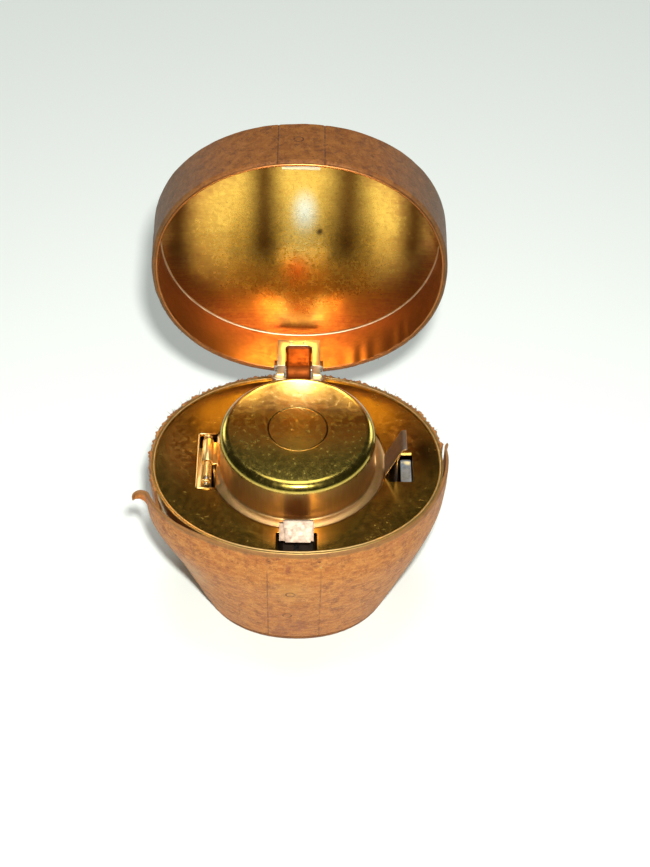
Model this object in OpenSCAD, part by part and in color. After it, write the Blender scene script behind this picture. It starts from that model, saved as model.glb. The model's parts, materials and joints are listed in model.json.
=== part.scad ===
// Travelling inkwell in the shape of an oval leather hat box, standing open.
// Origin: centre of the underside. +Z is up, the release side faces -Y, the lid hinge is at +Y.
// Every length is in millimetres.

/* [Case] */
// Half width of the case at its rim, along X
rim_a = 34; // [30:0.5:40]
// Half depth of the case at its rim, along Y
rim_b = 28.5; // [26.5:0.5:34]
// Half width of the foot, along X
base_a = 22.7; // [22.5:0.1:27]
// Half depth of the foot, along Y
base_b = 20; // [20:0.1:24]
// Height of the case, from the underside to the rim
case_h = 41; // [39:0.5:50]
// Squareness of the oval: 2 is a true ellipse
oval_power = 2.1; // [2:0.05:2.3]
// Thickness of the leather covering
leather_t = 0.9; // [0.6:0.1:1.2]
// Thickness of the brass box under the leather
shell_t = 0.5; // [0.4:0.05:0.8]
// Thickness of the top plate that closes the case
deck_t = 0.8; // [0.6:0.1:1]
// How far the top plate lies below the rim
deck_drop = 0.4; // [0.2:0.1:0.8]

/* [Outer lid] */
// Height of the outer lid, rim to the edge of its top
lid_h = 16.8; // [15:0.1:22]
// How much wider the lid is at its top than at its rim
lid_flare = 0.6; // [0:0.1:1]
// Angle that the lid stands open at
open_angle = 100; // [90:1:104]
// Radius of the lid's hinge pin
pin_r = 0.5; // [0.4:0.05:0.6]

/* [Inkwell] */
// Radius of the round opening in the top plate
well_hole_r = 20.5; // [20.4:0.1:21]
// Outer radius of the brass cup that holds the bottle
cup_r = 19.4; // [18.5:0.1:19.5]
// Outer radius of the glass bottle
bottle_r = 18.6; // [17:0.1:18.6]
// Radius of the bottle's mouth
mouth_r = 11; // [8:0.5:12]

/* [Inner lid] */
// Outer radius of the inner lid's wall
cap_r = 17.7; // [17:0.1:18]
// Height of the inner lid above the top plate
cap_h = 11; // [10:0.5:12]
// Radius of the rounded shoulder of the inner lid
cap_shoulder = 2.3; // [1.5:0.1:3]
// Outer radius of the inner lid's flange
flange_r = 20.2; // [19.5:0.1:20.3]

/* [Catches] */
// Width of the front catch, which holds the outer lid
front_catch_w = 7.7; // [6:0.1:8.5]
// Width of the side catch, which holds the inner lid
side_catch_w = 6.3; // [5:0.1:7]
// Thickness of both catch heads
catch_t = 0.5; // [0.4:0.05:0.6]

/* [Hidden] */
$fn = 72;
over = 1;                            // how far a cutter runs past the solid it cuts
run_gap = 0.05;                      // radial clearance of a running fit
brass = "#a8792a";
bright_brass = "#c79a45";
copper = "#b9672f";
steel = "#c9c4b4";
tan_leather = "#b06c2c";
dark_leather = "#8a5226";

// Heights through the case
base_t = 1;                          // leather under the foot
floor_t = 0.5;                       // brass floor of the case
block_t = 3;                         // wooden block under the cup
cup_t = 0.5;                         // wall of the cup
deck_top = case_h - deck_drop;
deck_low = deck_top - deck_t;
cup_low = base_t + floor_t + block_t;
cushion_t = 0.8;
bottle_low = cup_low + cup_t + cushion_t;
bottle_top = deck_top - 1.6;
bottle_wall = 1.8;
bottle_lip_t = 2.5;

// Rim band, hidden under the top edge of the leather
band_h = 2.6;
band_t = 0.4;

// Hinge of the outer lid
pin_y = rim_b - 0.2;
pin_z = case_h + 1.4;
barrel_r = 1.15;
hinge_notch = 6.5;                   // half width of the gap that the hinge stands in
leaf_t = 0.45;
leaf_half = 5.15;                    // half width of the hinge leaves
window_half = 3.2;                   // half width of the window in the lid's leaf
leaf_len = 10;
lid_leaf_y = rim_b - leather_t - shell_t - 0.35 - leaf_t; // front face of the lid's leaf, lid closed
base_leaf_y = rim_b - 2.4;           // front face of the leaf in the case
base_leaf_len = 8.5;
spring_half = 2.9;
spring_t = 0.35;
spring_y = rim_b - 2.85;             // middle of the leaf spring where it stands in the case

// Outer lid, drawn closed and then turned about its pin
lid_low = case_h + 0.1;
lid_top = lid_low + lid_h;
crown_t = 0.5;
crown_rise = 0.9;
crown_low = lid_top - leather_t - crown_t;
lid_notch_top = pin_z + 1.7;
keeper_half = 4.3;

// Inner lid and its hinge at -X
cap_top = deck_top + cap_h;
cap_t = 0.5;
flange_t = 0.7;
inner_pin_x = -20.6;
inner_pin_z = deck_top + 0.6;
inner_pin_r = 0.45;
inner_barrel_r = 1.3;
inner_hinge_y = [-7.6, 6.8];          // outer faces of the two ears
inner_barrel_y = [-1.4, 5.3];
inner_slot_low = -8.4;
inner_slot_high = 8.4;
inner_slot_x = -22.8;
inner_slot_end = -14;                // inside the round opening
flange_chord_x = -18.6;              // the flange is cut straight beside the hinge

// Seal under the inner lid
retainer_t = 0.95;
retainer_hole_r = 14.5;
plate_low = deck_top + 0.4;
plate_t = 0.6;
plate_r = 16;
pad_r = 13.9;
pad_low = bottle_top + 0.05;

// Catches
pivot_z = 33;                        // where both catch heads meet their flat springs
front_catch_y = -22.1;
side_catch_x = 22.7;
side_catch_y = -1.35;
catch_spring_t = 0.3;
catch_spring_low = 24;
bracket_h = 6;
catch_rivet_r = 0.6;
catch_rivet_h = 0.4;
front_slot_low_y = -26.6;
front_slot_high_y = -21.4;
front_slot_half = 4.6;
side_slot_low_x = 20.9;
side_slot_high_x = 26.5;
side_slot_half = 4.5;
side_slot_y = [side_catch_y - side_slot_half, side_catch_y + side_slot_half];

// Release under the front leather
press_z = case_h - 3.4;
press_w = 11.3;
press_h = 3.3;
press_t = 0.4;
press_pin_r = 0.5;
press_pin_x = 4.6;
press_room = 0.2;                    // room round the plate in the box, the band and the leather
press_wall = rim_b - leather_t;      // where the plate's inner face lies
press_pin_len = 2.2;

// Flare of the case: each row is a share of the height and a share of the widening
flare = [[0, 0], [0.25, 0.34], [0.5, 0.67], [0.7, 0.91], [0.8, 0.975], [1, 1]];

// One closed oval, counter-clockwise from +X
function power_of(v) = sign(v) * pow(abs(v), 2 / oval_power);
function oval(a, b) = [for (i = [0 : $fn - 1])
    let (t = 360 * i / $fn) [a * power_of(cos(t)), b * power_of(sin(t))]];

// A solid through a stack of rings with equal numbers of points
function ring_at(outline, z) = [for (p = outline) [p[0], p[1], z]];
module loft(rings) {
    n = len(rings[0]);
    m = len(rings);
    points = [for (r = rings) for (p = r) p];
    sides = [for (j = [0 : m - 2]) for (i = [0 : n - 1])
        let (k = (i + 1) % n, a = j * n, b = (j + 1) * n) [a + i, b + i, b + k, a + k]];
    low = [[for (i = [0 : n - 1]) i]];
    high = [[for (i = [n - 1 : -1 : 0]) (m - 1) * n + i]];
    polyhedron(points, concat(low, sides, high));
}

// The case's outline moved in by a wall thickness, with straight ends past the rim and the foot
function case_ring(share, inset) =
    oval(base_a + (rim_a - base_a) * share - inset, base_b + (rim_b - base_b) * share - inset);
module case_form(inset, past = 0) {
    body = [for (row = flare) ring_at(case_ring(row[1], inset), row[0] * case_h)];
    foot = past > 0 ? [ring_at(case_ring(0, inset), -past)] : [];
    rim = past > 0 ? [ring_at(case_ring(1, inset), case_h + past)] : [];
    loft(concat(foot, body, rim));
}

// The lid's outline moved in by a wall thickness
function lid_ring(share, inset) = oval(rim_a + lid_flare * share - inset, rim_b + lid_flare * share - inset);
module lid_form(inset, past = 0) {
    body = [ring_at(lid_ring(0, inset), lid_low), ring_at(lid_ring(1, inset), lid_top)];
    rim = past > 0 ? [ring_at(lid_ring(0, inset), lid_low - past)] : [];
    top = past > 0 ? [ring_at(lid_ring(1, inset), lid_top + past)] : [];
    loft(concat(rim, body, top));
}

// A shallow oval dome: its edge is at height low
module dome(low, inset) {
    rings = [for (s = [[1, -0.3], [1, 0], [0.97, 0.2], [0.85, 0.6], [0.6, 0.88], [0.3, 1]])
        ring_at([for (p = lid_ring(1, inset)) p * s[0]], low + s[1] * crown_rise)];
    loft(rings);
}

// Keeps everything between two heights
module between(low, high) {
    intersection() {
        children();
        translate([-2 * rim_a, -2 * rim_a, low]) cube([4 * rim_a, 4 * rim_a, high - low]);
    }
}

// Moves the lid's parts from closed to where the lid stands open
module opened() {
    translate([0, pin_y, pin_z]) rotate([-open_angle, 0, 0]) translate([0, -pin_y, -pin_z]) children();
}

// A block between two corners
module block(low, high) {
    translate(low) cube(high - low);
}

// A round bar along X or Y between two stations
module bar_x(x0, x1, y, z, r) {
    translate([x0, y, z]) rotate([0, 90, 0]) cylinder(h = x1 - x0, r = r);
}
module bar_y(x, y0, y1, z, r) {
    translate([x, y0, z]) rotate([-90, 0, 0]) cylinder(h = y1 - y0, r = r);
}

// A bent strip of even thickness, drawn flat as a chain of straight runs with round folds
module strip_2d(points, t) {
    for (i = [0 : len(points) - 2]) {
        run = points[i + 1] - points[i];
        translate(points[i]) rotate(atan2(run[1], run[0])) translate([0, -t / 2]) square([norm(run), t]);
    }
    for (i = [1 : len(points) - 2]) translate(points[i]) circle(d = t, $fn = 24);
}

// A strip bent in the YZ plane or in the XZ plane, with its width across
module strip_yz(points, t, half) {
    rotate([90, 0, 90]) translate([0, 0, -half]) linear_extrude(height = 2 * half) strip_2d(points, t);
}
module strip_xz(points, t, y, half) {
    translate([0, y + half, 0]) rotate([90, 0, 0]) linear_extrude(height = 2 * half) strip_2d(points, t);
}

// A coil of round wire about +Z: wire runs from angle 0, with rings of wire_sides points
wire_sides = 8;
function coil_point(r, pitch, a) = [r * cos(a), r * sin(a), pitch * a / 360];
module coil(r, pitch, turns, wire_r, steps = 18) {
    count = turns * steps;
    rings = [for (j = [0 : count]) let (a = 360 * j / steps, c = coil_point(r, pitch, a))
        [for (i = [0 : wire_sides - 1]) let (t = 360 * i / wire_sides)
            c + wire_r * (cos(t) * [cos(a), sin(a), 0] + sin(t) * [0, 0, 1])]];
    loft(rings);
}

// ---- Case ----

module case_shell() {
    color(brass) difference() {
        between(base_t, case_h) case_form(leather_t);
        difference() {
            case_form(leather_t + shell_t, over);
            between(-3 * over, base_t + floor_t) case_form(0, over);
        }
        hinge_gap();
        press_window(press_z - press_h / 2 - press_room, -rim_b - over, -rim_b + 3);
    }
}

// Gap in the back of the rim for the lid's hinge
module hinge_gap() {
    block([-hinge_notch, rim_b - 4, case_h - 1.2], [hinge_notch, rim_b + over, case_h + over]);
}

module rim_band() {
    outer = lid_ring(0, leather_t - band_t);
    inner = lid_ring(0, leather_t);
    color(bright_brass) difference() {
        translate([0, 0, case_h - band_h]) linear_extrude(height = band_h) difference() {
            polygon(outer);
            polygon(inner);
        }
        hinge_gap();
        press_window(case_h - band_h - over, -rim_b - over, -rim_b + 3);
    }
}

module leather_form() {
    difference() {
        case_form(0);
        case_form(leather_t, over);
        translate([0, 0, case_h - band_h]) linear_extrude(height = band_h + over)
            polygon(lid_ring(0, leather_t - band_t));
        block([-2 * rim_a, -2 * rim_a, -over], [2 * rim_a, 2 * rim_a, base_t]);
        hinge_gap();
    }
}

module leather_front() {
    color(tan_leather) difference() {
        leather_form();
        block([-2 * rim_a, 0, -over], [2 * rim_a, 2 * rim_a, case_h + over]);
        // pocket behind the leather for the press plate
        press_window(press_z - press_h / 2 - press_room, -press_wall - press_t - 0.02, -press_wall + over);
    }
}

module leather_back() {
    color(tan_leather) difference() {
        leather_form();
        block([-2 * rim_a, -2 * rim_a, -over], [2 * rim_a, 0, case_h + over]);
    }
}

module base_leather() {
    color(dark_leather) between(0, base_t) case_form(0);
}

module well_block() {
    color("burlywood") translate([0, 0, base_t + floor_t]) cylinder(h = block_t, r = 17);
}

module deck_plate() {
    color(brass) difference() {
        translate([0, 0, deck_low]) linear_extrude(height = deck_t)
            polygon(case_ring(1, leather_t + shell_t + run_gap));
        translate([0, 0, deck_low - over]) cylinder(h = deck_t + 2 * over, r = well_hole_r);
        deck_slot([inner_slot_x, inner_slot_end], [inner_slot_low, inner_slot_high]);
        deck_slot([-front_slot_half, front_slot_half], [front_slot_low_y, front_slot_high_y]);
        deck_slot([side_slot_low_x, side_slot_high_x], side_slot_y);
        deck_slot([-hinge_notch, hinge_notch], [rim_b - 3.3, rim_b + over]);
    }
}

// Cutter for a slot through the top plate, with its stations along X and along Y
module deck_slot(x, y) {
    block([x[0], y[0], deck_low - over], [x[1], y[1], deck_top + over]);
}

module well_cup() {
    lip_r = 21.2;
    lip_t = 0.5;
    inside = cup_r - cup_t;
    color(brass) {
        translate([0, 0, cup_low]) rotate_extrude() polygon([
            [0, 0], [cup_r, 0], [cup_r, deck_low - cup_low],
            [inside, deck_low - cup_low], [inside, cup_t], [0, cup_t]]);
        difference() {
            translate([0, 0, deck_low - lip_t]) difference() {
                cylinder(h = lip_t, r = lip_r);
                translate([0, 0, -over]) cylinder(h = lip_t + 2 * over, r = cup_r - cup_t / 2);
            }
            // the lip is cut away under the slot of the inner lid's hinge
            difference() {
                block([-lip_r - over, inner_slot_low, deck_low - over],
                    [inner_slot_end, inner_slot_high, deck_low + over]);
                translate([0, 0, deck_low - 2 * over]) cylinder(h = 4 * over, r = cup_r);
            }
        }
    }
}

module bottle_cushion() {
    color("saddlebrown") translate([0, 0, cup_low + cup_t]) cylinder(h = cushion_t, r = bottle_r);
}

module ink_bottle() {
    h = bottle_top - bottle_low;
    color("lightcyan", 0.5) translate([0, 0, bottle_low]) rotate_extrude() polygon([
        [0, 0], [bottle_r - 1, 0], [bottle_r, 1], [bottle_r, h - 3], [bottle_r - 1.5, h - 1.2],
        [mouth_r + 3.5, h - 1.2], [mouth_r + 3.5, h], [mouth_r, h], [mouth_r, h - bottle_lip_t],
        [bottle_r - bottle_wall, h - bottle_lip_t - 2], [bottle_r - bottle_wall, 3],
        [bottle_r - bottle_wall - 1, 2.4], [0, 2.4]]);
}

// ---- Hinge of the outer lid ----

module base_hinge_leaf() {
    leaf_top = case_h + 0.2;
    color(bright_brass) difference() {
        union() {
            block([-leaf_half, base_leaf_y, case_h - base_leaf_len],
                [leaf_half, base_leaf_y + leaf_t, leaf_top]);
            block([-spring_half, base_leaf_y, leaf_top - leaf_t], [spring_half, pin_y, leaf_top + 0.5]);
            bar_x(-spring_half, spring_half, pin_y, pin_z, barrel_r);
            for (side = [-1, 1]) shoulder(side, base_leaf_y);
        }
        bar_x(-leaf_half - over, leaf_half + over, pin_y, pin_z, pin_r);
    }
}

// Flat shoulder that lies on the rim beside the knuckle
module shoulder(side, plate_y) {
    width = 2.3;
    mirror([side < 0 ? 1 : 0, 0, 0]) translate([spring_half + 0.2, plate_y, case_h - 0.4]) {
        linear_extrude(height = leaf_t) {
            square([width, rim_b - plate_y]);
            translate([width, 1.2]) circle(r = 0.8);
        }
    }
}

module base_hinge_rivets() {
    color(steel) for (x = [-3.6, 3.6], z = [case_h - 7, case_h - 4]) {
        bar_y(x, base_leaf_y - 0.3, base_leaf_y, z, 0.55);
    }
}

module lid_hinge_pin() {
    color(steel) bar_x(-leaf_half - 0.5, leaf_half + 0.5, pin_y, pin_z, pin_r);
}

// Flat spring: it stands in the case, bends over the knuckle and presses on the lid's inner wall
module lid_spring() {
    c = cos(open_angle);
    s = sin(open_angle);
    reach = [1.5, leaf_len - 3];
    in_lid = [for (d = reach) [pin_y - 1.6 * c + d * s, pin_z + 1.6 * s + d * c]];
    stand = [[spring_y, case_h - 8], [spring_y, case_h + 1.2]];
    bend = [[spring_y + 0.7, case_h + 2.4], [pin_y - 0.8, pin_z + 1.65]];
    color(copper) strip_yz(concat(stand, bend, in_lid), spring_t, spring_half);
}

// ---- Hinge of the inner lid ----

module inner_hinge_bracket() {
    t = 0.6;
    y0 = inner_hinge_y[0];
    y1 = inner_hinge_y[1];
    low = deck_low - 2.8;
    wall_x = inner_slot_x - 0.1;
    ear_x = inner_pin_x + 0.9;
    color(bright_brass) difference() {
        union() {
            block([-27, y0, deck_low - t], [wall_x, y1, deck_low]);
            block([wall_x - t, y0, low], [wall_x, y1, deck_low]);
            block([wall_x - t, y0, low], [ear_x, y1, low + t]);
            for (y = [y0, y1 - t]) {
                block([ear_x - 2, y, low], [ear_x, y + t, inner_pin_z]);
                bar_y(inner_pin_x - 0.1, y, y + t, inner_pin_z, 1);
            }
        }
        bar_y(inner_pin_x, y0 - over, y1 + over, inner_pin_z, inner_pin_r);
    }
}

module inner_hinge_rivets() {
    color(steel) for (y = [-5, 4.2]) translate([-25, y, deck_low - 1]) cylinder(h = 0.4, r = 0.7);
}

module inner_hinge_pin() {
    color(steel) bar_y(inner_pin_x, inner_hinge_y[0] - 0.4, inner_hinge_y[1] + 0.4, inner_pin_z, inner_pin_r);
}

// Torsion coil round the pin
module inner_hinge_spring() {
    turns = 7;
    length = 4.3;
    wire_r = 0.24;
    color(bright_brass) translate([inner_pin_x, inner_barrel_y[0] - 0.35, inner_pin_z]) rotate([90, 0, 0])
        coil(0.83, length / turns, turns, wire_r);
}

// ---- Catch of the outer lid, at the front ----

module outer_catch_spring() {
    color(steel) block([-front_catch_w / 2 + 0.8, front_catch_y - catch_spring_t / 2, catch_spring_low],
        [front_catch_w / 2 - 0.8, front_catch_y + catch_spring_t / 2, pivot_z - 0.1]);
}

// Block soldered to the cup, which the flat spring is riveted to
module outer_catch_bracket() {
    half = front_catch_w / 2;
    high = catch_spring_low + bracket_h;
    color(brass) difference() {
        block([-half, front_catch_y + catch_spring_t / 2, catch_spring_low], [half, 1 - cup_r, high]);
        cup_room();
    }
}

// Where the cup stands, cut out of a catch bracket
module cup_room() {
    translate([0, 0, catch_spring_low - over]) cylinder(h = bracket_h + 2 * over, r = cup_r + run_gap);
}

module outer_catch_rivets() {
    face = front_catch_y - catch_spring_t / 2;
    color(steel) for (x = [-2, 2]) {
        bar_y(x, face - catch_rivet_h, face, catch_spring_low + bracket_h / 2, catch_rivet_r);
    }
}

module outer_catch_head() {
    fold_z = deck_top + 5.3;
    nose = [-26.1, deck_top + 2.2];
    side_gap = 0.5;
    color(bright_brass) difference() {
        strip_yz([[front_catch_y, pivot_z], [front_catch_y, fold_z], nose], catch_t, front_catch_w / 2);
        // the sloping face narrows towards the nose
        for (side = [0, 1]) mirror([side, 0, 0])
            translate([front_catch_w / 2 - side_gap, -28, deck_top + 0.8]) rotate([0, 0, 6]) cube([3, 5.6, 9]);
    }
}

// ---- Catch of the inner lid, at the right ----

module inner_catch_spring() {
    half = side_catch_w / 2 - 0.6;
    t = catch_spring_t / 2;
    color(steel) block([side_catch_x - t, side_catch_y - half, catch_spring_low],
        [side_catch_x + t, side_catch_y + half, pivot_z - 0.1]);
}

module inner_catch_bracket() {
    y0 = side_catch_y - side_catch_w / 2;
    high = catch_spring_low + bracket_h;
    color(brass) difference() {
        block([cup_r - 1, y0, catch_spring_low], [side_catch_x - catch_spring_t / 2, y0 + side_catch_w, high]);
        cup_room();
    }
}

module inner_catch_rivets() {
    face = side_catch_x + catch_spring_t / 2;
    color(steel) for (y = [-1.6, 1.6]) {
        bar_x(face, face + catch_rivet_h, side_catch_y + y, catch_spring_low + bracket_h / 2, catch_rivet_r);
    }
}

module inner_catch_head() {
    fold = [23.6, deck_top + 8.9];
    nose = [20.15, deck_top + 0.6];
    thumb = [24.6, deck_top + 9.1];
    sweep = [[side_catch_x, deck_top + 1.6], [side_catch_x - 0.1, deck_top + 4.2]];
    leaf = concat([[side_catch_x, pivot_z]], sweep, [fold]);
    color(bright_brass) {
        strip_xz(leaf, catch_t, side_catch_y, side_catch_w / 2);
        strip_xz([nose, fold, thumb], catch_t, side_catch_y, side_catch_w / 2);
    }
}

// ---- Outer lid ----

// Gap in the back of the lid's rim for the hinge
module lid_gap() {
    block([-hinge_notch, rim_b - 4, lid_low - over], [hinge_notch, rim_b + 2, lid_notch_top]);
}

module lid_shell() {
    color(brass) opened() difference() {
        between(lid_low, crown_low) lid_form(leather_t);
        lid_form(leather_t + shell_t, over);
        lid_gap();
    }
}

module lid_crown() {
    color(brass) opened() difference() {
        dome(crown_low + crown_t, leather_t);
        translate([0, 0, -crown_t]) dome(crown_low + crown_t, leather_t + 0.3);
        block([-2 * rim_a, -2 * rim_a, crown_low - 2], [2 * rim_a, 2 * rim_a, crown_low]);
    }
}

module lid_leather_band() {
    color(dark_leather) opened() difference() {
        between(lid_low, crown_low) lid_form(0);
        lid_form(leather_t, over);
        lid_gap();
    }
}

module lid_leather_top() {
    color(dark_leather) opened() difference() {
        union() {
            between(crown_low, lid_top - 0.2) lid_form(0);
            dome(lid_top - 0.2, 0.1);
        }
        dome(crown_low + crown_t, leather_t);
        block([-2 * rim_a, -2 * rim_a, crown_low - 2], [2 * rim_a, 2 * rim_a, crown_low]);
    }
}

// U-shaped leaf on the lid's inner wall, with a knuckle on each leg
module lid_hinge_leaf() {
    face = lid_leaf_y + leaf_t;
    front = lid_leaf_y;
    low = lid_low + 0.2;
    bar_low = pin_z + leaf_len - 2.4;
    chamfer = 0.9;
    color(bright_brass) opened() difference() {
        union() {
            for (side = [0, 1]) mirror([side, 0, 0]) {
                block([window_half, front, low], [leaf_half, face, pin_z + leaf_len]);
                block([window_half, front, low], [leaf_half, pin_y, low + 0.6]);
                bar_x(window_half, leaf_half, pin_y, pin_z, barrel_r);
            }
            block([-leaf_half, front, bar_low], [leaf_half, face, pin_z + leaf_len]);
            // chamfered corners of the window
            for (side = [0, 1]) mirror([side, 0, 0]) translate([window_half, face, bar_low]) rotate([90, 0, 0])
                linear_extrude(height = leaf_t) polygon([[-chamfer, 0], [0, 0], [0, -chamfer]]);
        }
        bar_x(-leaf_half - over, leaf_half + over, pin_y, pin_z, pin_r + run_gap);
    }
}

module lid_hinge_rivets() {
    color(steel) opened() for (x = [-1.9, 1.4]) {
        bar_y(x, lid_leaf_y - 0.25, lid_leaf_y, pin_z + leaf_len - 1.2, 0.5);
    }
}

// Lip inside the front of the lid, which the front catch holds down
module lid_keeper() {
    wall = rim_b - leather_t - shell_t - 0.3;
    low = lid_low + 0.5;
    color(bright_brass) opened() union() {
        block([-keeper_half, -wall, low], [keeper_half, -wall + 0.35, low + 3.5]);
        block([-keeper_half, -wall, low], [keeper_half, -wall + 0.95, low + 0.5]);
    }
}

// ---- Inner lid ----

module inner_lid_cap() {
    low = deck_top - flange_t;
    r0 = cap_r - cap_t;
    centre = [cap_r - cap_shoulder, cap_top - cap_shoulder];
    arc_out = [for (a = [0 : 9 : 90]) centre + cap_shoulder * [cos(a), sin(a)]];
    arc_in = [for (a = [90 : -9 : 0]) centre + (cap_shoulder - cap_t) * [cos(a), sin(a)]];
    color(bright_brass) difference() {
        rotate_extrude() polygon(concat(
            [[r0, low], [flange_r, low], [flange_r, deck_top]],
            [[cap_r + 0.3, deck_top], [cap_r, deck_top + 0.3]],
            arc_out, [[0, cap_top], [0, cap_top - cap_t]], arc_in));
        block([-flange_r - over, inner_slot_low - 0.2, low - over],
            [flange_chord_x, inner_slot_high + 0.2, deck_top + over]);
    }
}

// Rolled barrel with a tab soldered on the flange
module inner_lid_knuckle() {
    y0 = inner_barrel_y[0];
    y1 = inner_barrel_y[1];
    color(bright_brass) difference() {
        union() {
            bar_y(inner_pin_x, y0, y1, inner_pin_z, inner_barrel_r);
            block([inner_pin_x, y0, deck_top], [-cap_r - 0.45, y1, deck_top + 0.5]);
        }
        bar_y(inner_pin_x, y0 - over, y1 + over, inner_pin_z, inner_pin_r + run_gap);
    }
}

module seal_retainer() {
    color(brass) translate([0, 0, plate_low - 0.05 - retainer_t]) difference() {
        cylinder(h = retainer_t, r = cap_r - cap_t - run_gap);
        translate([0, 0, -over]) cylinder(h = retainer_t + 2 * over, r = retainer_hole_r);
    }
}

module seal_spring() {
    turns = 4;
    wire_r = 0.4;
    free = cap_top - cap_t - plate_low - plate_t - 2 * wire_r - 0.1;
    color(steel) translate([0, 0, plate_low + plate_t + wire_r + 0.05])
        coil(7, free / turns, turns, wire_r, 24);
}

module seal_plate() {
    color(brass) translate([0, 0, plate_low]) cylinder(h = plate_t, r = plate_r);
}

module seal_pad() {
    color("saddlebrown") translate([0, 0, pad_low]) cylinder(h = plate_low - pad_low, r = pad_r);
}

// ---- Release under the front leather ----

// What is cut away round the plate, from a height up and between two stations along Y
module press_window(low, y0, y1) {
    half = press_w / 2 + press_room;
    block([-half, y0, low], [half, y1, press_z + press_h / 2 + press_room]);
}

module press_plate() {
    low = [-press_w / 2, -press_wall - press_t, press_z - press_h / 2];
    color(brass) block(low, [press_w / 2, -press_wall, press_z + press_h / 2]);
}

module press_guide_pins() {
    color(steel) for (x = [-press_pin_x, press_pin_x]) {
        bar_y(x, -press_wall, -press_wall + press_pin_len, press_z, press_pin_r);
    }
}

module press_pusher() {
    color(steel) bar_y(0, -press_wall, front_catch_y - catch_t / 2 - 0.02, press_z, 0.6);
}

case_shell();
rim_band();
leather_front();
leather_back();
base_leather();
well_block();
deck_plate();
well_cup();
bottle_cushion();
ink_bottle();
base_hinge_leaf();
base_hinge_rivets();
lid_hinge_pin();
lid_spring();
inner_hinge_bracket();
inner_hinge_rivets();
inner_hinge_pin();
inner_hinge_spring();
outer_catch_spring();
outer_catch_bracket();
outer_catch_rivets();
inner_catch_spring();
inner_catch_bracket();
inner_catch_rivets();
lid_shell();
lid_crown();
lid_leather_band();
lid_leather_top();
lid_hinge_leaf();
lid_hinge_rivets();
lid_keeper();
inner_lid_cap();
inner_lid_knuckle();
seal_retainer();
seal_spring();
seal_plate();
seal_pad();
outer_catch_head();
inner_catch_head();
press_plate();
press_guide_pins();
press_pusher();
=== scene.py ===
"""Looks of a travelling inkwell shaped like an oval leather hat box.

Lengths here are millimetres unless a name says so."""

import json
import math
import random

import bmesh
import bpy
from mathutils import Matrix, Vector, noise


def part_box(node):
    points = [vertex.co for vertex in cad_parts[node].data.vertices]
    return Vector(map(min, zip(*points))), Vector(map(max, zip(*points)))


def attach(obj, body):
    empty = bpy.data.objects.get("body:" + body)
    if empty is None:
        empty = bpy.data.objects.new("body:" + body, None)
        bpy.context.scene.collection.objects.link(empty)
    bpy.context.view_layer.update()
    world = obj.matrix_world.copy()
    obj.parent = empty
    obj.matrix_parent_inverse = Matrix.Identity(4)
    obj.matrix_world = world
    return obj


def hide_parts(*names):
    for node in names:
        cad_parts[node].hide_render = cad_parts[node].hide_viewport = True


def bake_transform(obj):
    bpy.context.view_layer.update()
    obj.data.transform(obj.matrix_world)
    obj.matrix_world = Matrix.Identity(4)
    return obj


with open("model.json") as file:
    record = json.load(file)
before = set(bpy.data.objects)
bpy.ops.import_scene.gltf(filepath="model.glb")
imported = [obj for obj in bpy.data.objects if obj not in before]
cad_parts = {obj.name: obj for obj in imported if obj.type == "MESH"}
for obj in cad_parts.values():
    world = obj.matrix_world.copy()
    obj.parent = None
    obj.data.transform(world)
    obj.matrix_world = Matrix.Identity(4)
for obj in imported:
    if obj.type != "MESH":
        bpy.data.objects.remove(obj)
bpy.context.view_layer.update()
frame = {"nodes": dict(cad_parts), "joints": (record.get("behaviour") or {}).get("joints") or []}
MM = 0.001
JOINTS = {j["name"]: j for j in frame["joints"]}

# ---- Driving sizes, from the frame where it holds them ----


def span(node):
    """Lowest and highest corners of a CAD node, in millimetres."""
    low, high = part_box(node)
    return low / MM, high / MM


RIM_A = span("leather_front")[1].x
RIM_B = span("leather_back")[1].y
CASE_H = span("case_shell")[1].z
BASE_A = 22.7
BASE_B = 20.0
OVAL_POWER = 2.1
LEATHER_T = 0.9
SHELL_T = 0.5
FLARE = ((0, 0), (0.25, 0.34), (0.5, 0.67), (0.7, 0.91), (0.8, 0.975), (1, 1))
DECK_LOW = span("deck_plate")[0].z
DECK_TOP = span("deck_plate")[1].z
WELL_R = 20.5
PIN = Vector(JOINTS["outer_lid_hinge"]["pos_m"]) / MM
OPEN_ANGLE = math.radians(-JOINTS["outer_lid_hinge"]["range_deg"][0])
HINGE_GAP = 5.75  # half width of the gap in the leather and in the lid
HINGE_SLOT = 6.5  # half width of the slot in the deck
FOOT_TOP = 1.02  # where the case's leather starts, above the foot
RING_R = 6.7  # incised ring on the inner lid
LID_LOW = CASE_H + 0.1
LID_H = 16.8
LID_TOP = LID_LOW + LID_H
LID_FLARE = 0.6
CROWN_T = 0.5
CROWN_RISE = 0.9
CROWN_LOW = LID_TOP - LEATHER_T - CROWN_T
CAP_R = 17.7
CAP_TOP = span("inner_lid_cap")[1].z
CAP_T = 0.5
FLANGE_R = 20.2

# ---- Mesh helpers ----


def power_of(v):
    return math.copysign(abs(v) ** (2 / OVAL_POWER), v)


def oval_point(a, b, t, z):
    return Vector((a * power_of(math.cos(t)), b * power_of(math.sin(t)), z))


def smooth_step(low, high, v):
    s = min(1.0, max(0.0, (v - low) / (high - low)))
    return s * s * (3 - 2 * s)


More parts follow.
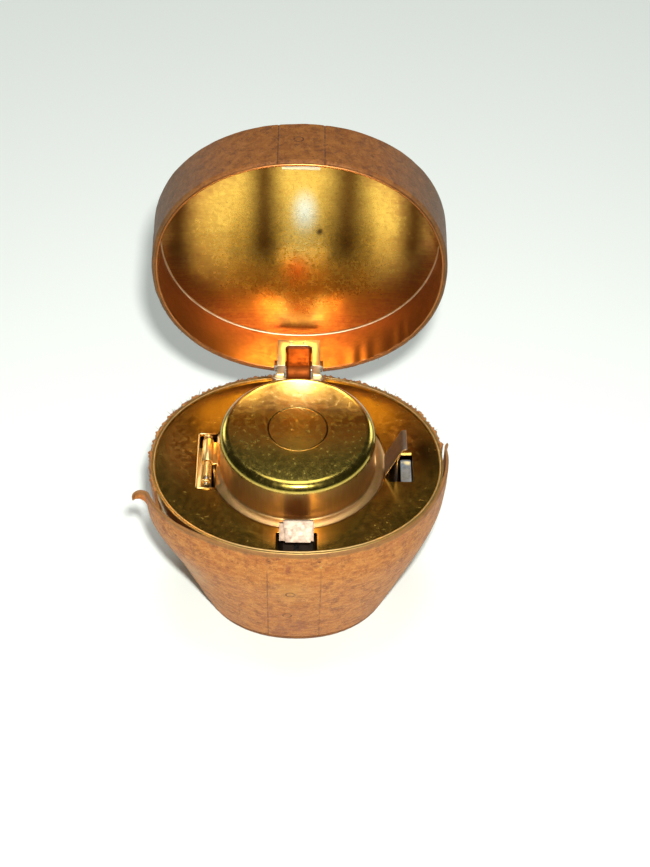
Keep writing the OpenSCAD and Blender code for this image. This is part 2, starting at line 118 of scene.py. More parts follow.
def flare_at(share):
    """The case's widening at a share of its height, on a smooth curve through FLARE."""
    share = min(1.0, max(0.0, share))
    k = max(i for i in range(len(FLARE) - 1) if FLARE[i][0] <= share)
    (x0, y0), (x1, y1) = FLARE[k], FLARE[k + 1]
    before = FLARE[k - 1] if k else (x0 - (x1 - x0), y0 - (y1 - y0))
    after = FLARE[k + 2] if k + 2 < len(FLARE) else (x1 + (x1 - x0), y1)
    m0 = (y1 - before[1]) / (x1 - before[0]) * (x1 - x0)
    m1 = (after[1] - y0) / (after[0] - x0) * (x1 - x0)
    s = (share - x0) / (x1 - x0)
    start = (2 * s**3 - 3 * s**2 + 1) * y0 + (s**3 - 2 * s**2 + s) * m0
    return start + (3 * s**2 - 2 * s**3) * y1 + (s**3 - s**2) * m1


def case_half(z):
    """Half width and half depth of the case's outside at a height."""
    f = flare_at(z / CASE_H)
    return BASE_A + (RIM_A - BASE_A) * f, BASE_B + (RIM_B - BASE_B) * f


def lid_half(z):
    """Half width and half depth of the closed lid's outside at a height."""
    f = LID_FLARE * (z - LID_LOW) / LID_H
    return RIM_A + f, RIM_B + f


def wall_point(half, t, z, depth):
    a, b = half(z)
    return oval_point(a - depth, b - depth, t, z)


def wall_normal(half, t, z):
    """Level direction out of a wall."""
    step = 0.01
    along = wall_point(half, t + step, z, 0) - wall_point(half, t - step, z, 0)
    return Vector((along.y, -along.x, 0)).normalized()


def rough(p, scale, seed=0.0):
    """Smooth noise from -1 to 1 at a point, with features of about scale millimetres."""
    return noise.noise(Vector((p[0] / scale + seed, p[1] / scale - seed, p[2] / scale + 2 * seed)))


def new_object(name, verts, faces):
    mesh = bpy.data.meshes.new(name)
    mesh.from_pydata([Vector(v) * MM for v in verts], [], faces)
    mesh.validate()
    bm = bmesh.new()
    bm.from_mesh(mesh)
    bmesh.ops.remove_doubles(bm, verts=bm.verts, dist=1e-7)
    bmesh.ops.recalc_face_normals(bm, faces=bm.faces)
    bm.to_mesh(mesh)
    bm.free()
    mesh.polygons.foreach_set("use_smooth", [True] * len(mesh.polygons))
    obj = bpy.data.objects.new(name, mesh)
    bpy.context.scene.collection.objects.link(obj)
    return obj


def solid(name, outer, inner, around=False):
    """A closed mesh between two equal grids of points; around joins the first and last columns."""
    cols, rows = len(outer), len(outer[0])
    verts = [p for col in outer for p in col] + [p for col in inner for p in col]
    half = cols * rows
    faces = []
    for i in range(cols if around else cols - 1):
        a, b = i * rows, (i + 1) % cols * rows
        for j in range(rows - 1):
            faces.append((a + j, b + j, b + j + 1, a + j + 1))
            faces.append((half + a + j, half + a + j + 1, half + b + j + 1, half + b + j))
        for j in (0, rows - 1):
            faces.append((a + j, b + j, half + b + j, half + a + j))
    if not around:
        for a in (0, (cols - 1) * rows):
            faces += [(a + j, a + j + 1, half + a + j + 1, half + a + j) for j in range(rows - 1)]
    return new_object(name, verts, faces)


def lathe(name, profile, steps=288):
    """A body turned about Z from an outline of (radius, height), closed or from axis to axis."""
    verts, faces = [], []
    for i in range(steps):
        t = 2 * math.pi * i / steps
        verts += [(r * math.cos(t), r * math.sin(t), z) for r, z in profile]
    n = len(profile)
    closed = profile[0][0] > 0
    for i in range(steps):
        a, b = i * n, (i + 1) % steps * n
        for j in range(n if closed else n - 1):
            k = (j + 1) % n
            faces.append((a + j, b + j, b + k, a + k))
    return new_object(name, verts, faces)


def disc(name, top, bottom, shares, steps):
    """A closed plate between two surfaces, each a function of the share of the way out and the angle."""
    verts = [top(0, 0), bottom(0, 0)]
    turns = [2 * math.pi * i / steps for i in range(steps)]
    for surface in (top, bottom):
        for share in shares:
            verts += [surface(share, t) for t in turns]
    faces = []
    rings = len(shares)
    for side in (0, 1):
        first = 2 + side * rings * steps
        for i in range(steps):
            k = (i + 1) % steps
            faces.append((side, first + i, first + k))
            for j in range(rings - 1):
                a = first + j * steps
                faces.append((a + i, a + steps + i, a + steps + k, a + k))
    outer = 2 + (rings - 1) * steps
    under = outer + rings * steps
    faces += [(outer + i, outer + (i + 1) % steps, under + (i + 1) % steps, under + i) for i in range(steps)]
    return new_object(name, verts, faces)


def smooth_path(points, radius, steps=8, even=True):
    """A chain of straight runs whose folds are rounded; even gives a fold the same reach on both sides."""
    points = [Vector(q) for q in points]
    out = [points[0]]
    for before, q, after in zip(points, points[1:], points[2:]):
        back = min(radius, 0.45 * (q - before).length)
        ahead = min(radius, 0.45 * (after - q).length)
        if even:
            back = ahead = min(back, ahead)
        start = q + (before - q).normalized() * back
        end = q + (after - q).normalized() * ahead
        turns = [k / steps for k in range(steps + 1)]
        out += [start.lerp(q, k).lerp(q.lerp(end, k), k) for k in turns]
    return out + [points[-1]]


def sheet_strip(name, path, t, half, place, bow=0.0, cols=10):
    """A bent metal strip of thickness t along a flat path.

    half(share) is its half width and place lifts a flat point into space."""
    steps = []
    for a, b in zip(path, path[1:]):
        count = max(1, int((b - a).length / 0.8))
        steps += [a.lerp(b, k / count) for k in range(count)]
    steps.append(path[-1])
    total = sum((b - a).length for a, b in zip(steps, steps[1:]))
    run, grids = 0.0, ([], [])
    for i, q in enumerate(steps):
        if i:
            run += (q - steps[i - 1]).length
        ahead = (steps[min(i + 1, len(steps) - 1)] - steps[max(i - 1, 0)]).normalized()
        across = Vector((-ahead.y, ahead.x))
        w = half(run / total)
        for grid, side in zip(grids, (0.5, -0.5)):
            row = []
            for c in range(cols + 1):
                u = 2 * c / cols - 1
                edge = t * 0.18 * smooth_step(0.9, 1.0, abs(u))
                flat = q + across * (side * t - math.copysign(edge, side) + bow * (1 - u * u))
                row.append(place(flat, u * w))
            grid.append(row)
    return solid(name, grids[0], grids[1])


def prism(name, outline, low, high):
    """An upright block with the given outline in XY."""
    n = len(outline)
    verts = [(x, y, low) for x, y in outline] + [(x, y, high) for x, y in outline]
    faces = [tuple(range(n))[::-1], tuple(range(n, 2 * n))]
    faces += [(i, (i + 1) % n, n + (i + 1) % n, n + i) for i in range(n)]
    obj = new_object(name, verts, faces)
    obj.data.polygons.foreach_set("use_smooth", [False] * len(obj.data.polygons))
    return obj


def round_rect(x0, x1, y0, y1, r, steps=5):
    """Outline of a rectangle with round corners."""
    centres = ((x1 - r, y1 - r, 0), (x0 + r, y1 - r, 90), (x0 + r, y0 + r, 180), (x1 - r, y0 + r, 270))
    points = []
    for cx, cy, start in centres:
        for i in range(steps + 1):
            t = math.radians(start + 90 * i / steps)
            points.append((cx + r * math.cos(t), cy + r * math.sin(t)))
    return points


def apply_modifiers(obj):
    """Bakes an object's modifiers into its own mesh."""
    deps = bpy.context.evaluated_depsgraph_get()
    mesh = bpy.data.meshes.new_from_object(obj.evaluated_get(deps))
    old = obj.data
    obj.modifiers.clear()
    obj.data = mesh
    bpy.data.meshes.remove(old)


def cut(obj, cutters):
    """Takes each cutter out of an object and deletes the cutters."""
    for c in cutters:
        m = obj.modifiers.new("cut", "BOOLEAN")
        m.operation = "DIFFERENCE"
        m.solver = "EXACT"
        m.object = c
        bpy.context.view_layer.update()
        apply_modifiers(obj)
        bpy.data.objects.remove(c)


def box_cutter(low, high):
    (x0, y0, z0), (x1, y1, z1) = low, high
    return prism("cutter", [(x0, y0), (x1, y0), (x1, y1), (x0, y1)], z0, z1)


def soften(obj, width, segments=2, angle=35):
    """Rounds an object's sharp edges with a bevel that stays a modifier."""
    weld = obj.modifiers.new("weld", "WELD")
    weld.merge_threshold = 1e-6
    bevel = obj.modifiers.new("bevel", "BEVEL")
    bevel.width = width * MM
    bevel.segments = segments
    bevel.limit_method = "ANGLE"
    bevel.angle_limit = math.radians(angle)
    bevel.harden_normals = True
    obj.data.polygons.foreach_set("use_smooth", [True] * len(obj.data.polygons))


def open_lid(obj):
    """Turns a part that was drawn on the closed lid to where the lid stands open."""
    pin = PIN * MM
    obj.data.transform(
        Matrix.Translation(pin) @ Matrix.Rotation(-OPEN_ANGLE, 4, "X") @ Matrix.Translation(-pin)
    )


def opened(p):
    """Where a point of the closed lid is when the lid stands open."""
    return Matrix.Rotation(-OPEN_ANGLE, 3, "X") @ (Vector(p) - PIN) + PIN


def tube(name, path, radius, sides=14):
    """A round bar along a path of points."""
    path = [Vector(q) for q in path]
    verts, faces = [], []
    n = len(path)
    for i, q in enumerate(path):
        way = (path[min(i + 1, n - 1)] - path[max(i - 1, 0)]).normalized()
        side = way.cross(Vector((0.05, 0.02, 1))).normalized()
        other = way.cross(side)
        for k in range(sides):
            a = 2 * math.pi * k / sides
            verts.append(q + side * (radius * math.cos(a)) + other * (radius * math.sin(a)))
    for i in range(n - 1):
        a, b = i * sides, (i + 1) * sides
        faces += [(a + k, a + (k + 1) % sides, b + (k + 1) % sides, b + k) for k in range(sides)]
    faces += [tuple(range(sides)), tuple(range((n - 1) * sides, n * sides))[::-1]]
    return new_object(name, verts, faces)


# ---- Materials ----


class Graph:
    """Short names for the nodes of the materials. Positions are object coordinates in millimetres."""

    def __init__(self, name):
        self.mat = bpy.data.materials.new(name)
        self.mat.use_nodes = True
        self.tree = self.mat.node_tree
        self.shader = self.tree.nodes["Principled BSDF"]
        coord = self.tree.nodes.new("ShaderNodeTexCoord")
        scale = self.tree.nodes.new("ShaderNodeVectorMath")
        scale.operation = "SCALE"
        scale.inputs["Scale"].default_value = 1 / MM
        self.tree.links.new(coord.outputs["Object"], scale.inputs[0])
        self.place = scale.outputs[0]

    def put(self, value, socket):
        if isinstance(value, bpy.types.NodeSocket):
            self.tree.links.new(value, socket)
        elif isinstance(value, (tuple, list)) and len(value) == 3 and socket.type == "RGBA":
            socket.default_value = (*value, 1)
        else:
            socket.default_value = value

    def node(self, kind, **settings):
        n = self.tree.nodes.new(kind)
        for key, value in settings.items():
            setattr(n, key, value)
        return n

    def math(self, op, a, b=0.0):
        n = self.node("ShaderNodeMath", operation=op)
        for value, socket in zip((a, b), n.inputs):
            self.put(value, socket)
        return n.outputs[0]

    def times(self, a, b):
        return self.math("MULTIPLY", a, b)

    def plus(self, a, b):
        return self.math("ADD", a, b)

    def minus(self, a, b):
        return self.math("SUBTRACT", a, b)

    def over(self, a, b):
        return self.math("DIVIDE", a, b)

    def larger(self, a, b):
        return self.math("MAXIMUM", a, b)

    def apart(self, a, b):
        return self.math("ABSOLUTE", self.minus(a, b))

    def hypot(self, a, b):
        return self.math("SQRT", self.plus(self.times(a, a), self.times(b, b)))

    def stretch(self, x, y, z):
        n = self.node("ShaderNodeVectorMath", operation="MULTIPLY")
        self.put(self.place, n.inputs[0])
        n.inputs[1].default_value = (x, y, z)
        return n.outputs[0]

    def noise(self, scale, detail=4.0, rough=0.55, place=None, distort=0.0):
        n = self.node("ShaderNodeTexNoise")
        self.put(place or self.place, n.inputs["Vector"])
        n.inputs["Scale"].default_value = scale
        n.inputs["Detail"].default_value = detail
        n.inputs["Roughness"].default_value = rough
        n.inputs["Distortion"].default_value = distort
        return n.outputs["Fac"]

    def cells(self, scale, feature="F1", place=None):
        n = self.node("ShaderNodeTexVoronoi", feature=feature)
        self.put(place or self.place, n.inputs["Vector"])
        n.inputs["Scale"].default_value = scale
        return n.outputs["Distance"]

    def ramp(self, value, low, high, a=0.0, b=1.0):
        n = self.node("ShaderNodeMapRange", interpolation_type="SMOOTHSTEP")
        for v, socket in zip((value, low, high, a, b), n.inputs):
            self.put(v, socket)
        return n.outputs[0]

    def mix(self, factor, a, b):
        n = self.node("ShaderNodeMix", data_type="RGBA")
        self.put(factor, n.inputs["Factor"])
        for socket in n.inputs:
            if socket.type == "RGBA":
                self.put(a if socket.name == "A" else b, socket)
        return next(socket for socket in n.outputs if socket.type == "RGBA")

    def axes(self):
        n = self.node("ShaderNodeSeparateXYZ")
        self.put(self.place, n.inputs[0])
        return n.outputs[0], n.outputs[1], n.outputs[2]

    def bump(self, height, strength, distance):
        n = self.node("ShaderNodeBump")
        n.inputs["Strength"].default_value = strength
        n.inputs["Distance"].default_value = distance * MM
        self.put(height, n.inputs["Height"])
        return n.outputs["Normal"]

    def set(self, **values):
        names = {
            "color": "Base Color",
            "rough": "Roughness",
            "metal": "Metallic",
            "normal": "Normal",
            "sheen": "Sheen Weight",
            "sheen_rough": "Sheen Roughness",
            "ior": "IOR",
            "specular": "Specular IOR Level",
            "transmission": "Transmission Weight",
        }
        for key, value in values.items():
            self.put(value, self.shader.inputs[names[key]])
        return self.mat


def brass(
    name, tint, stain, scratch, polish=0.2, dirt=0.3, spots=0.4,
    copper=None, copper_at=None, across=0.0, cut=0.35, paint_over=None,
):
    """Old sheet brass: fine scratches along one axis, soft brown stains, dark spots and copper-coloured wear.

    copper_at(g) says where the copper shows, and the last argument paints over the colour what is special to
    a piece: marks, and for some pieces painted highlights, painted reflections and painted shade.
    across is how much a highlight spreads over the scratches."""
    g = Graph(name)
    cloud = g.noise(0.12, 4, 0.55)
    fine = g.noise(0.9, 6, 0.7)
    streak = g.noise(1.0, 4, 0.6, g.stretch(*scratch))
    grain = g.noise(1.0, 3, 0.7, g.stretch(*[c * 4 for c in scratch]))
    spot = g.times(g.ramp(g.cells(0.55), 0.05, 0.15, 1.0, 0.0), g.ramp(g.noise(0.25, 3), 0.5, 0.6))
    blotch = g.plus(g.times(cloud, 0.6), g.times(fine, 0.4))
    stained = g.ramp(blotch, 0.34, 0.72, 0.0, dirt)
    color = g.mix(stained, tint, stain)
    if copper:
        wear = copper_at(g) if copper_at else 0.4
        patch = g.ramp(g.plus(fine, grain), 0.75, 1.15, 0.55, 1.0)
        color = g.mix(g.times(wear, patch), color, copper)
    color = g.mix(g.ramp(streak, 0.35, 0.75, 0.0, 0.2), color, tuple(min(1.0, c * 1.5) for c in tint))
    color = g.mix(g.ramp(grain, 0.55, 0.75, 0.0, 0.3), color, tuple(c * 0.4 for c in stain))
    color = g.mix(g.times(spot, spots), color, (0.04, 0.02, 0.01))
    roughness = g.plus(g.ramp(fine, 0.3, 0.8, polish, polish + 0.12), g.times(stained, 0.2))
    if copper:
        roughness = g.plus(roughness, g.times(wear, 0.14))
    height = g.plus(g.times(streak, 0.5), g.times(grain, 0.25))
    if paint_over:
        color = paint_over(g, color)
    if across:
        g.shader.inputs["Anisotropic"].default_value = across
        g.shader.inputs["Tangent"].default_value = (1, 0, 0)
    return g.set(color=color, rough=roughness, metal=1.0, normal=g.bump(height, cut, 0.02))


def leather(name, light, mid, dark, stamps=(), lines=(), face=None, fade=0.0, paint_over=None):
    """Old vegetable-tanned leather: pores, fine cracks round the case, stains and lighter rubbed fibres.

    stamps are (centre, radius) of pressed rings and lines the X of pressed straight lines, on the side where
    face(g) is 1. fade is the height over which the lines have worn away."""
    g = Graph(name)
    x, y, z = g.axes()
    bands = g.noise(1.0, 6, 0.72, g.stretch(0.45, 0.45, 1.0))
    cloud = g.noise(0.42, 7, 0.78, distort=0.3)
    fine = g.noise(1.5, 6, 0.75)
    grain = g.noise(4.0, 4, 0.7)
    pores = g.cells(3.0)
    cracks = g.ramp(g.cells(0.8, "DISTANCE_TO_EDGE", g.stretch(0.6, 0.6, 1.3)), 0.0, 0.06, 1.0, 0.0)
    cracks = g.times(cracks, g.ramp(cloud, 0.5, 0.6))
    color = g.mix(g.ramp(bands, 0.38, 0.62), mid, light)
    blotch = g.times(g.ramp(cloud, 0.47, 0.62), g.ramp(fine, 0.38, 0.6, 0.25, 0.95))
    color = g.mix(blotch, color, dark)
    rubbed = tuple(min(1.0, c * 1.35 + 0.04) for c in light)
    color = g.mix(g.times(g.ramp(fine, 0.54, 0.7), 0.5), color, rubbed)
    color = g.mix(g.ramp(grain, 0.5, 0.7, 0.0, 0.6), color, tuple(c * 0.7 for c in dark))
    color = g.mix(g.times(cracks, 0.3), color, tuple(c * 0.4 for c in dark))
    specks = g.times(g.ramp(g.cells(0.4), 0.05, 0.12, 1.0, 0.0), g.ramp(fine, 0.4, 0.5))
    color = g.mix(g.times(specks, 0.6), color, tuple(c * 0.4 for c in dark))
    if paint_over:
        color = paint_over(g, color)
    pressed = None
    for centre, radius in stamps:
        across = g.minus(x, centre[0])
        up = g.minus(z, centre[2]) if abs(centre[2]) > 0 else g.minus(y, centre[1])
        r = g.hypot(across, up)
        ring = g.ramp(g.apart(r, radius), 0.08, 0.26, 1.0, 0.0)
        ring = g.times(ring, g.ramp(fine, 0.38, 0.5))
        pressed = ring if pressed is None else g.larger(pressed, ring)
    for line in lines:
        edge = g.ramp(g.apart(x, line), 0.05, 0.2, 1.0, 0.0)
        edge = g.times(edge, g.ramp(g.noise(0.5, 3), 0.35, 0.6, 0.2, 0.9))
        if fade:
            edge = g.times(edge, g.ramp(z, fade, fade - 8.0, 0.1, 0.8))
        pressed = edge if pressed is None else g.larger(pressed, edge)
    height = g.plus(g.times(fine, 0.5), g.times(g.ramp(pores, 0.1, 0.5), 0.5))
    height = g.minus(height, g.times(cracks, 0.6))
    if pressed is not None:
        pressed = g.times(pressed, face(g))
        color = g.mix(g.times(pressed, 0.8), color, tuple(c * 0.35 for c in dark))
        height = g.minus(height, pressed)
    return g.set(
        color=color, rough=g.ramp(fine, 0.3, 0.75, 0.48, 0.72), normal=g.bump(height, 0.55, 0.09),
        specular=0.25, sheen=0.03, sheen_rough=0.5,
    )


def steel(name, tint, roughness):
    g = Graph(name)
    fine = g.noise(1.6, 5, 0.65)
    cloud = g.noise(0.4, 4, 0.6)
    color = g.mix(g.ramp(cloud, 0.45, 0.7, 0.0, 0.6), tint, tuple(c * 0.4 for c in tint))
    rough_at = g.ramp(fine, 0.3, 0.8, roughness, roughness + 0.2)
    return g.set(color=color, metal=1.0, rough=rough_at, normal=g.bump(fine, 0.25, 0.02))


def plain_wood(name):
    g = Graph(name)
    rings = g.noise(1.0, 5, 0.6, g.stretch(0.12, 1.3, 0.5), distort=0.8)
    pores = g.noise(1.0, 3, 0.7, g.stretch(0.3, 6.0, 3.0))
    color = g.mix(g.ramp(rings, 0.35, 0.65), (0.50, 0.33, 0.17), (0.68, 0.50, 0.30))
    color = g.mix(g.ramp(pores, 0.55, 0.7, 0.0, 0.5), color, (0.25, 0.14, 0.06))
    return g.set(color=color, rough=g.ramp(pores, 0.3, 0.7, 0.55, 0.8), normal=g.bump(pores, 0.4, 0.05))


def felt_cloth(name):
    g = Graph(name)
    fibre = g.noise(2.4, 6, 0.75, distort=1.5)
    color = g.mix(g.ramp(fibre, 0.35, 0.7), (0.14, 0.03, 0.02), (0.34, 0.10, 0.06))
    bump = g.bump(fibre, 0.8, 0.2)
    return g.set(color=color, rough=0.95, normal=bump, sheen=0.6, sheen_rough=0.6, specular=0.2)


def old_glass(name):
    g = Graph(name)
    wave = g.noise(0.15, 3, 0.5)
    smear = g.noise(0.5, 5, 0.7)
    color = g.mix(g.ramp(wave, 0.3, 0.7), (0.82, 0.93, 0.90), (0.93, 0.98, 0.96))
    smeared = g.ramp(smear, 0.5, 0.8, 0.02, 0.12)
    return g.set(color=color, transmission=1.0, ior=1.5, rough=smeared, normal=g.bump(wave, 0.2, 0.3))


def front_only(g):
    """1 on the side that faces -Y and 0 at the back."""
    return g.ramp(g.axes()[1], -6.0, -9.0)


# Pressed marks on the case's front: straight strap lines, two worn ring stamps and two small holes
STRAP_LINES = (-6.4, 5.6)
BODY_STAMPS = (
    ((-1.2, 0, 25.5), 1.0),
    ((-1.9, 0, 14.0), 1.0),
    ((-6.1, 0, 38.6), 0.15),
    ((5.2, 0, 38.6), 0.15),
)
LID_LINES = (-5.2, 5.3)

def wall_of_cap(g):
    """1 on the wall of the inner lid and on its flange, 0 on its top."""
    return g.ramp(g.axes()[2], CAP_TOP - 1.4, CAP_TOP - 3.6)


def edge_of_crown(g):
    """1 beside the seam round the lid's crown, 0 at its middle."""
    x, _, z = g.axes()
    middle = opened((0, 0, CROWN_LOW)).z
    wide = g.over(x, RIM_A - 1.5)
    tall = g.over(g.minus(z, middle), RIM_B - 1.5)
    r = g.hypot(wide, tall)
    return g.ramp(g.plus(r, g.times(g.noise(0.2, 5, 0.7), 0.5)), 0.85, 1.25)


def lid_front_only(g):
    """1 on the part of the lid's band that is the front when the lid is shut."""
    return g.ramp(g.axes()[2], 64.0, 68.0)


def near(g, middle, reach_x, reach_y, reach_z):
    """1 at a place and 0 beyond a reach along each axis; a reach of 0 leaves that axis out."""
    total = None
    for axis, centre, reach in zip(g.axes(), middle, (reach_x, reach_y, reach_z)):
        if not reach:
            continue
        part = g.over(g.minus(axis, centre), reach)
        part = g.times(part, part)
        total = part if total is None else g.plus(total, part)
    return g.ramp(g.math("SQRT", total), 0.0, 1.0, 1.0, 0.0)


def crown_bands(g):
    """Upright bands of painted dark reflection that run across the brushing of the crown."""
    x = g.plus(g.axes()[0], g.times(g.noise(0.15, 4, 0.7), 2.0))
    dark = None
    for middle, reach in ((-28.0, 6.5), (-7.5, 6.5), (12.0, 8.0), (28.0, 5.5)):
        band = g.ramp(g.apart(x, middle), 0.0, reach, 1.0, 0.0)
        dark = band if dark is None else g.larger(dark, band)
    low = g.ramp(g.axes()[2], opened((0, 12.0, CROWN_LOW)).z, opened((0, 2.0, CROWN_LOW)).z, 0.3, 1.0)
    return g.times(dark, low)


def crown_painted_light(g, color):
    """Painted dark reflection bands, a painted yellow glow high on the middle with a near-white painted
    highlight in it, a painted orange reflection of the spring under the glow, and a small painted dark
    reflection beside the highlight.
    """
    # Painted dark reflection: upright dark bands mixed into the crown's colour.
    color = g.mix(g.times(crown_bands(g), 0.94), color, (0.085, 0.030, 0.005))
    # Painted highlight: a broad yellow glow round the flash's highlight, high on the middle.
    painted_glow = near(g, opened((0.6, -2.0, CROWN_LOW)), 6.5, 0, 15.0)
    color = g.mix(g.times(painted_glow, 0.9), color, (1.0, 0.72, 0.22))
    # Painted reflection: an orange patch under the glow, the spring seen in the crown.
    color = g.mix(near(g, opened((-0.8, 9.5, CROWN_LOW)), 4.6, 0, 6.0), color, (1.0, 0.33, 0.06))
    # Painted highlight: a near-white hot spot of the flash.
    color = g.mix(near(g, opened((1.0, -6.0, CROWN_LOW)), 4.2, 0, 7.5), color, (1.0, 1.0, 0.88))
    # Painted dark reflection: a small dark spot beside the highlight.
    return g.mix(near(g, opened((4.6, -1.0, CROWN_LOW)), 1.3, 0, 1.5), color, (0.06, 0.02, 0.008))


def deck_painted_light(g, color):
    """Deck with painted orange reflections at its left, round the front catch and behind the side catch, and
    darkened at its right.
    """
    # Painted reflection: the lid's orange glow on the deck's left.
    color = g.mix(near(g, (-28.0, 2.0, 0), 8.0, 13.0, 0), color, (1.0, 0.62, 0.14))
    # Painted reflection round the front catch.
    color = g.mix(g.times(near(g, (0, -23.0, 0), 11.0, 4.5, 0), 0.8), color, (0.95, 0.46, 0.14))
    color = g.mix(g.times(near(g, (29.5, 3.0, 0), 4.5, 9.0, 0), 0.9), color, (0.12, 0.07, 0.02))
    # Painted reflection behind the side catch.
    return g.mix(g.times(near(g, (24.5, 8.0, 0), 5.0, 8.0, 0), 0.6), color, (0.95, 0.50, 0.12))


def tan_stains_and_painted_sheen(g, color):
    """Red-brown stains, a painted pale sheen at the left, a panel between the straps and a dark upper edge.
    """
    blot = g.ramp(g.noise(0.5, 5, 0.7), 0.4, 0.62)
    stain = near(g, (-0.5, -23.0, 7.0), 9.0, 8.0, 14.0)
    color = g.mix(g.times(g.times(stain, blot), 0.75), color, (0.26, 0.085, 0.035))
    # Painted sheen: a pale patch of light on the left of the case.
    painted_sheen = near(g, (-24.0, -18.0, 22.0), 7.0, 9.0, 13.0)
    color = g.mix(g.times(painted_sheen, 0.4), color, (0.60, 0.40, 0.22))
    panel = near(g, (-1.2, -27.0, 27.0), 7.0, 9.0, 8.0)
    color = g.mix(g.times(panel, 0.3), color, (0.62, 0.33, 0.07))
    wide = g.ramp(g.noise(0.22, 4, 0.6), 0.52, 0.68)
    red = g.times(wide, g.ramp(g.noise(1.2, 5, 0.7), 0.42, 0.6))
    color = g.mix(g.times(red, 0.45), color, (0.36, 0.085, 0.03))
    lip = g.plus(g.axes()[2], g.times(g.noise(0.4, 4), 1.4))
    return g.mix(g.ramp(lip, CASE_H - 0.7, CASE_H + 0.3, 0.0, 0.75), color, (0.19, 0.10, 0.035))


def lid_painted_shade(g, color):
    """The lid's band is painted dark and greenish towards its two ends: painted shade where the band turns
    away from the light.
    """
    blot = g.ramp(g.noise(0.4, 5, 0.7), 0.35, 0.6, 0.5, 1.0)
    # Painted shade: darker towards both ends of the band, made patchy by noise.
    end = g.ramp(g.math("ABSOLUTE", g.axes()[0]), 16.0, 32.0, 0.0, 0.75)
    return g.mix(g.times(end, blot), color, (0.090, 0.050, 0.016))


def cap_painted_highlight_and_dark_lines(g, color):
    """The back of the inner lid's top has a painted pale highlight, and its incised ring and its edge are
    darkened.
    """
    x, y, z = g.axes()
    top = g.ramp(z, CAP_TOP - 1.2, CAP_TOP - 0.8)
    # Painted highlight: a pale patch on the back of the top.
    painted_back_highlight = g.times(g.ramp(y, 3.0, 12.0), g.ramp(z, CAP_TOP - 3.0, CAP_TOP - 1.0))
    color = g.mix(painted_back_highlight, color, (1.0, 0.97, 0.76))
    r = g.hypot(x, y)
    line = g.ramp(g.apart(r, RING_R), 0.13, 0.3, 0.92, 0.0)
    color = g.mix(g.times(line, top), color, (0.06, 0.03, 0.008))
    edge = g.ramp(g.apart(r, 16.5), 0.3, 1.1, 0.6, 0.0)
    return g.mix(edge, color, (0.16, 0.10, 0.02))


BROWN = (0.20, 0.09, 0.03)
STAMP_ON_LID = opened((-0.6, -RIM_B, LID_LOW + 9.6))
MATS = {
    "deck": brass(
        "deck_brass", (0.58, 0.34, 0.055), BROWN, (0.5, 3.0, 1.0), 0.16, 0.12, 0.35,
        cut=0.2, paint_over=deck_painted_light,
    ),
    "cap": brass(
        "cap_brass", (0.60, 0.46, 0.09), (0.40, 0.26, 0.06), (2.2, 2.2, 0.16), 0.17, 0.1, 0.1,
        copper=(0.62, 0.34, 0.16), copper_at=wall_of_cap, cut=0.1, paint_over=cap_painted_highlight_and_dark_lines,
    ),
    "crown": brass(
        "crown_brass", (0.86, 0.50, 0.09), BROWN, (0.12, 2.0, 2.0), 0.2, 0.2, 0.4,
        copper=(0.50, 0.19, 0.06), copper_at=edge_of_crown, across=0.5, paint_over=crown_painted_light,
    ),
    "skirt": brass(
        "skirt_brass", (0.46, 0.165, 0.045), (0.17, 0.05, 0.015), (0.4, 1.2, 1.2), 0.24, 0.5, 0.4,
        copper=(0.48, 0.20, 0.075),
    ),
    "box": brass("box_brass", (0.52, 0.34, 0.11), BROWN, (0.6, 0.6, 3.0), 0.28, 0.5, 0.4),
    "bright": brass("bright_brass", (1.0, 0.84, 0.56), (0.55, 0.34, 0.15), (0.6, 2.0, 2.0), 0.42, 0.15, 0.2),
    "hinge": brass("hinge_brass", (1.0, 0.66, 0.26), (0.55, 0.28, 0.08), (2.0, 0.5, 2.0), 0.34, 0.2, 0.2),
    "catch": brass(
        "catch_brass", (0.235, 0.180, 0.135), (0.17, 0.105, 0.075), (0.3, 3.0, 3.0), 0.46, 0.6, 0.3,
    ),
    "spring": brass(
        "spring_brass", (0.25, 0.060, 0.010), (0.16, 0.035, 0.008), (3.0, 0.4, 0.4), 0.5, 0.4, 0.2,
    ),
    # A darker copy of the catch brass: painted shade on the cheeks behind the catch's face.
    "cheek": brass("catch_brass_painted_shade", (0.12, 0.085, 0.06), (0.07, 0.045, 0.03), (0.3, 3.0, 3.0), 0.4, 0.4, 0.3),
    "steel": steel("old_steel", (0.62, 0.62, 0.60), 0.24),
    "foot": steel("foot_steel", (0.42, 0.50, 0.58), 0.4),
    "tan": leather(
        "case_leather", (0.58, 0.235, 0.045), (0.44, 0.140, 0.022), (0.23, 0.060, 0.016),
        BODY_STAMPS, STRAP_LINES, front_only, fade=38.0, paint_over=tan_stains_and_painted_sheen,
    ),
    "tan_back": leather("case_back_leather", (0.45, 0.20, 0.055), (0.33, 0.12, 0.03), (0.17, 0.055, 0.020)),
    "lid_leather": leather(
        "lid_leather", (0.29, 0.108, 0.020), (0.21, 0.070, 0.012), (0.11, 0.034, 0.009),
        (((STAMP_ON_LID.x, STAMP_ON_LID.y, 0), 1.05),), LID_LINES, lid_front_only, paint_over=lid_painted_shade,
    ),
    "rim": leather("torn_leather", (0.30, 0.15, 0.055), (0.20, 0.095, 0.035), (0.09, 0.04, 0.016)),
    "seal": leather("seal_leather", (0.24, 0.13, 0.06), (0.17, 0.09, 0.04), (0.08, 0.04, 0.02)),
    "wood": plain_wood("block_wood"),
    "felt": felt_cloth("cushion_felt"),
    "glass": old_glass("bottle_glass"),
}


def dress(obj, mat, body=None, replaces=()):
    """Gives a new piece its material and body, and hides the CAD nodes that it stands for."""
    obj.data.materials.clear()
    obj.data.materials.append(MATS[mat])
    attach(obj, body)
    if replaces:
        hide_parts(*replaces)
    return obj


# ---- Leather of the case ----

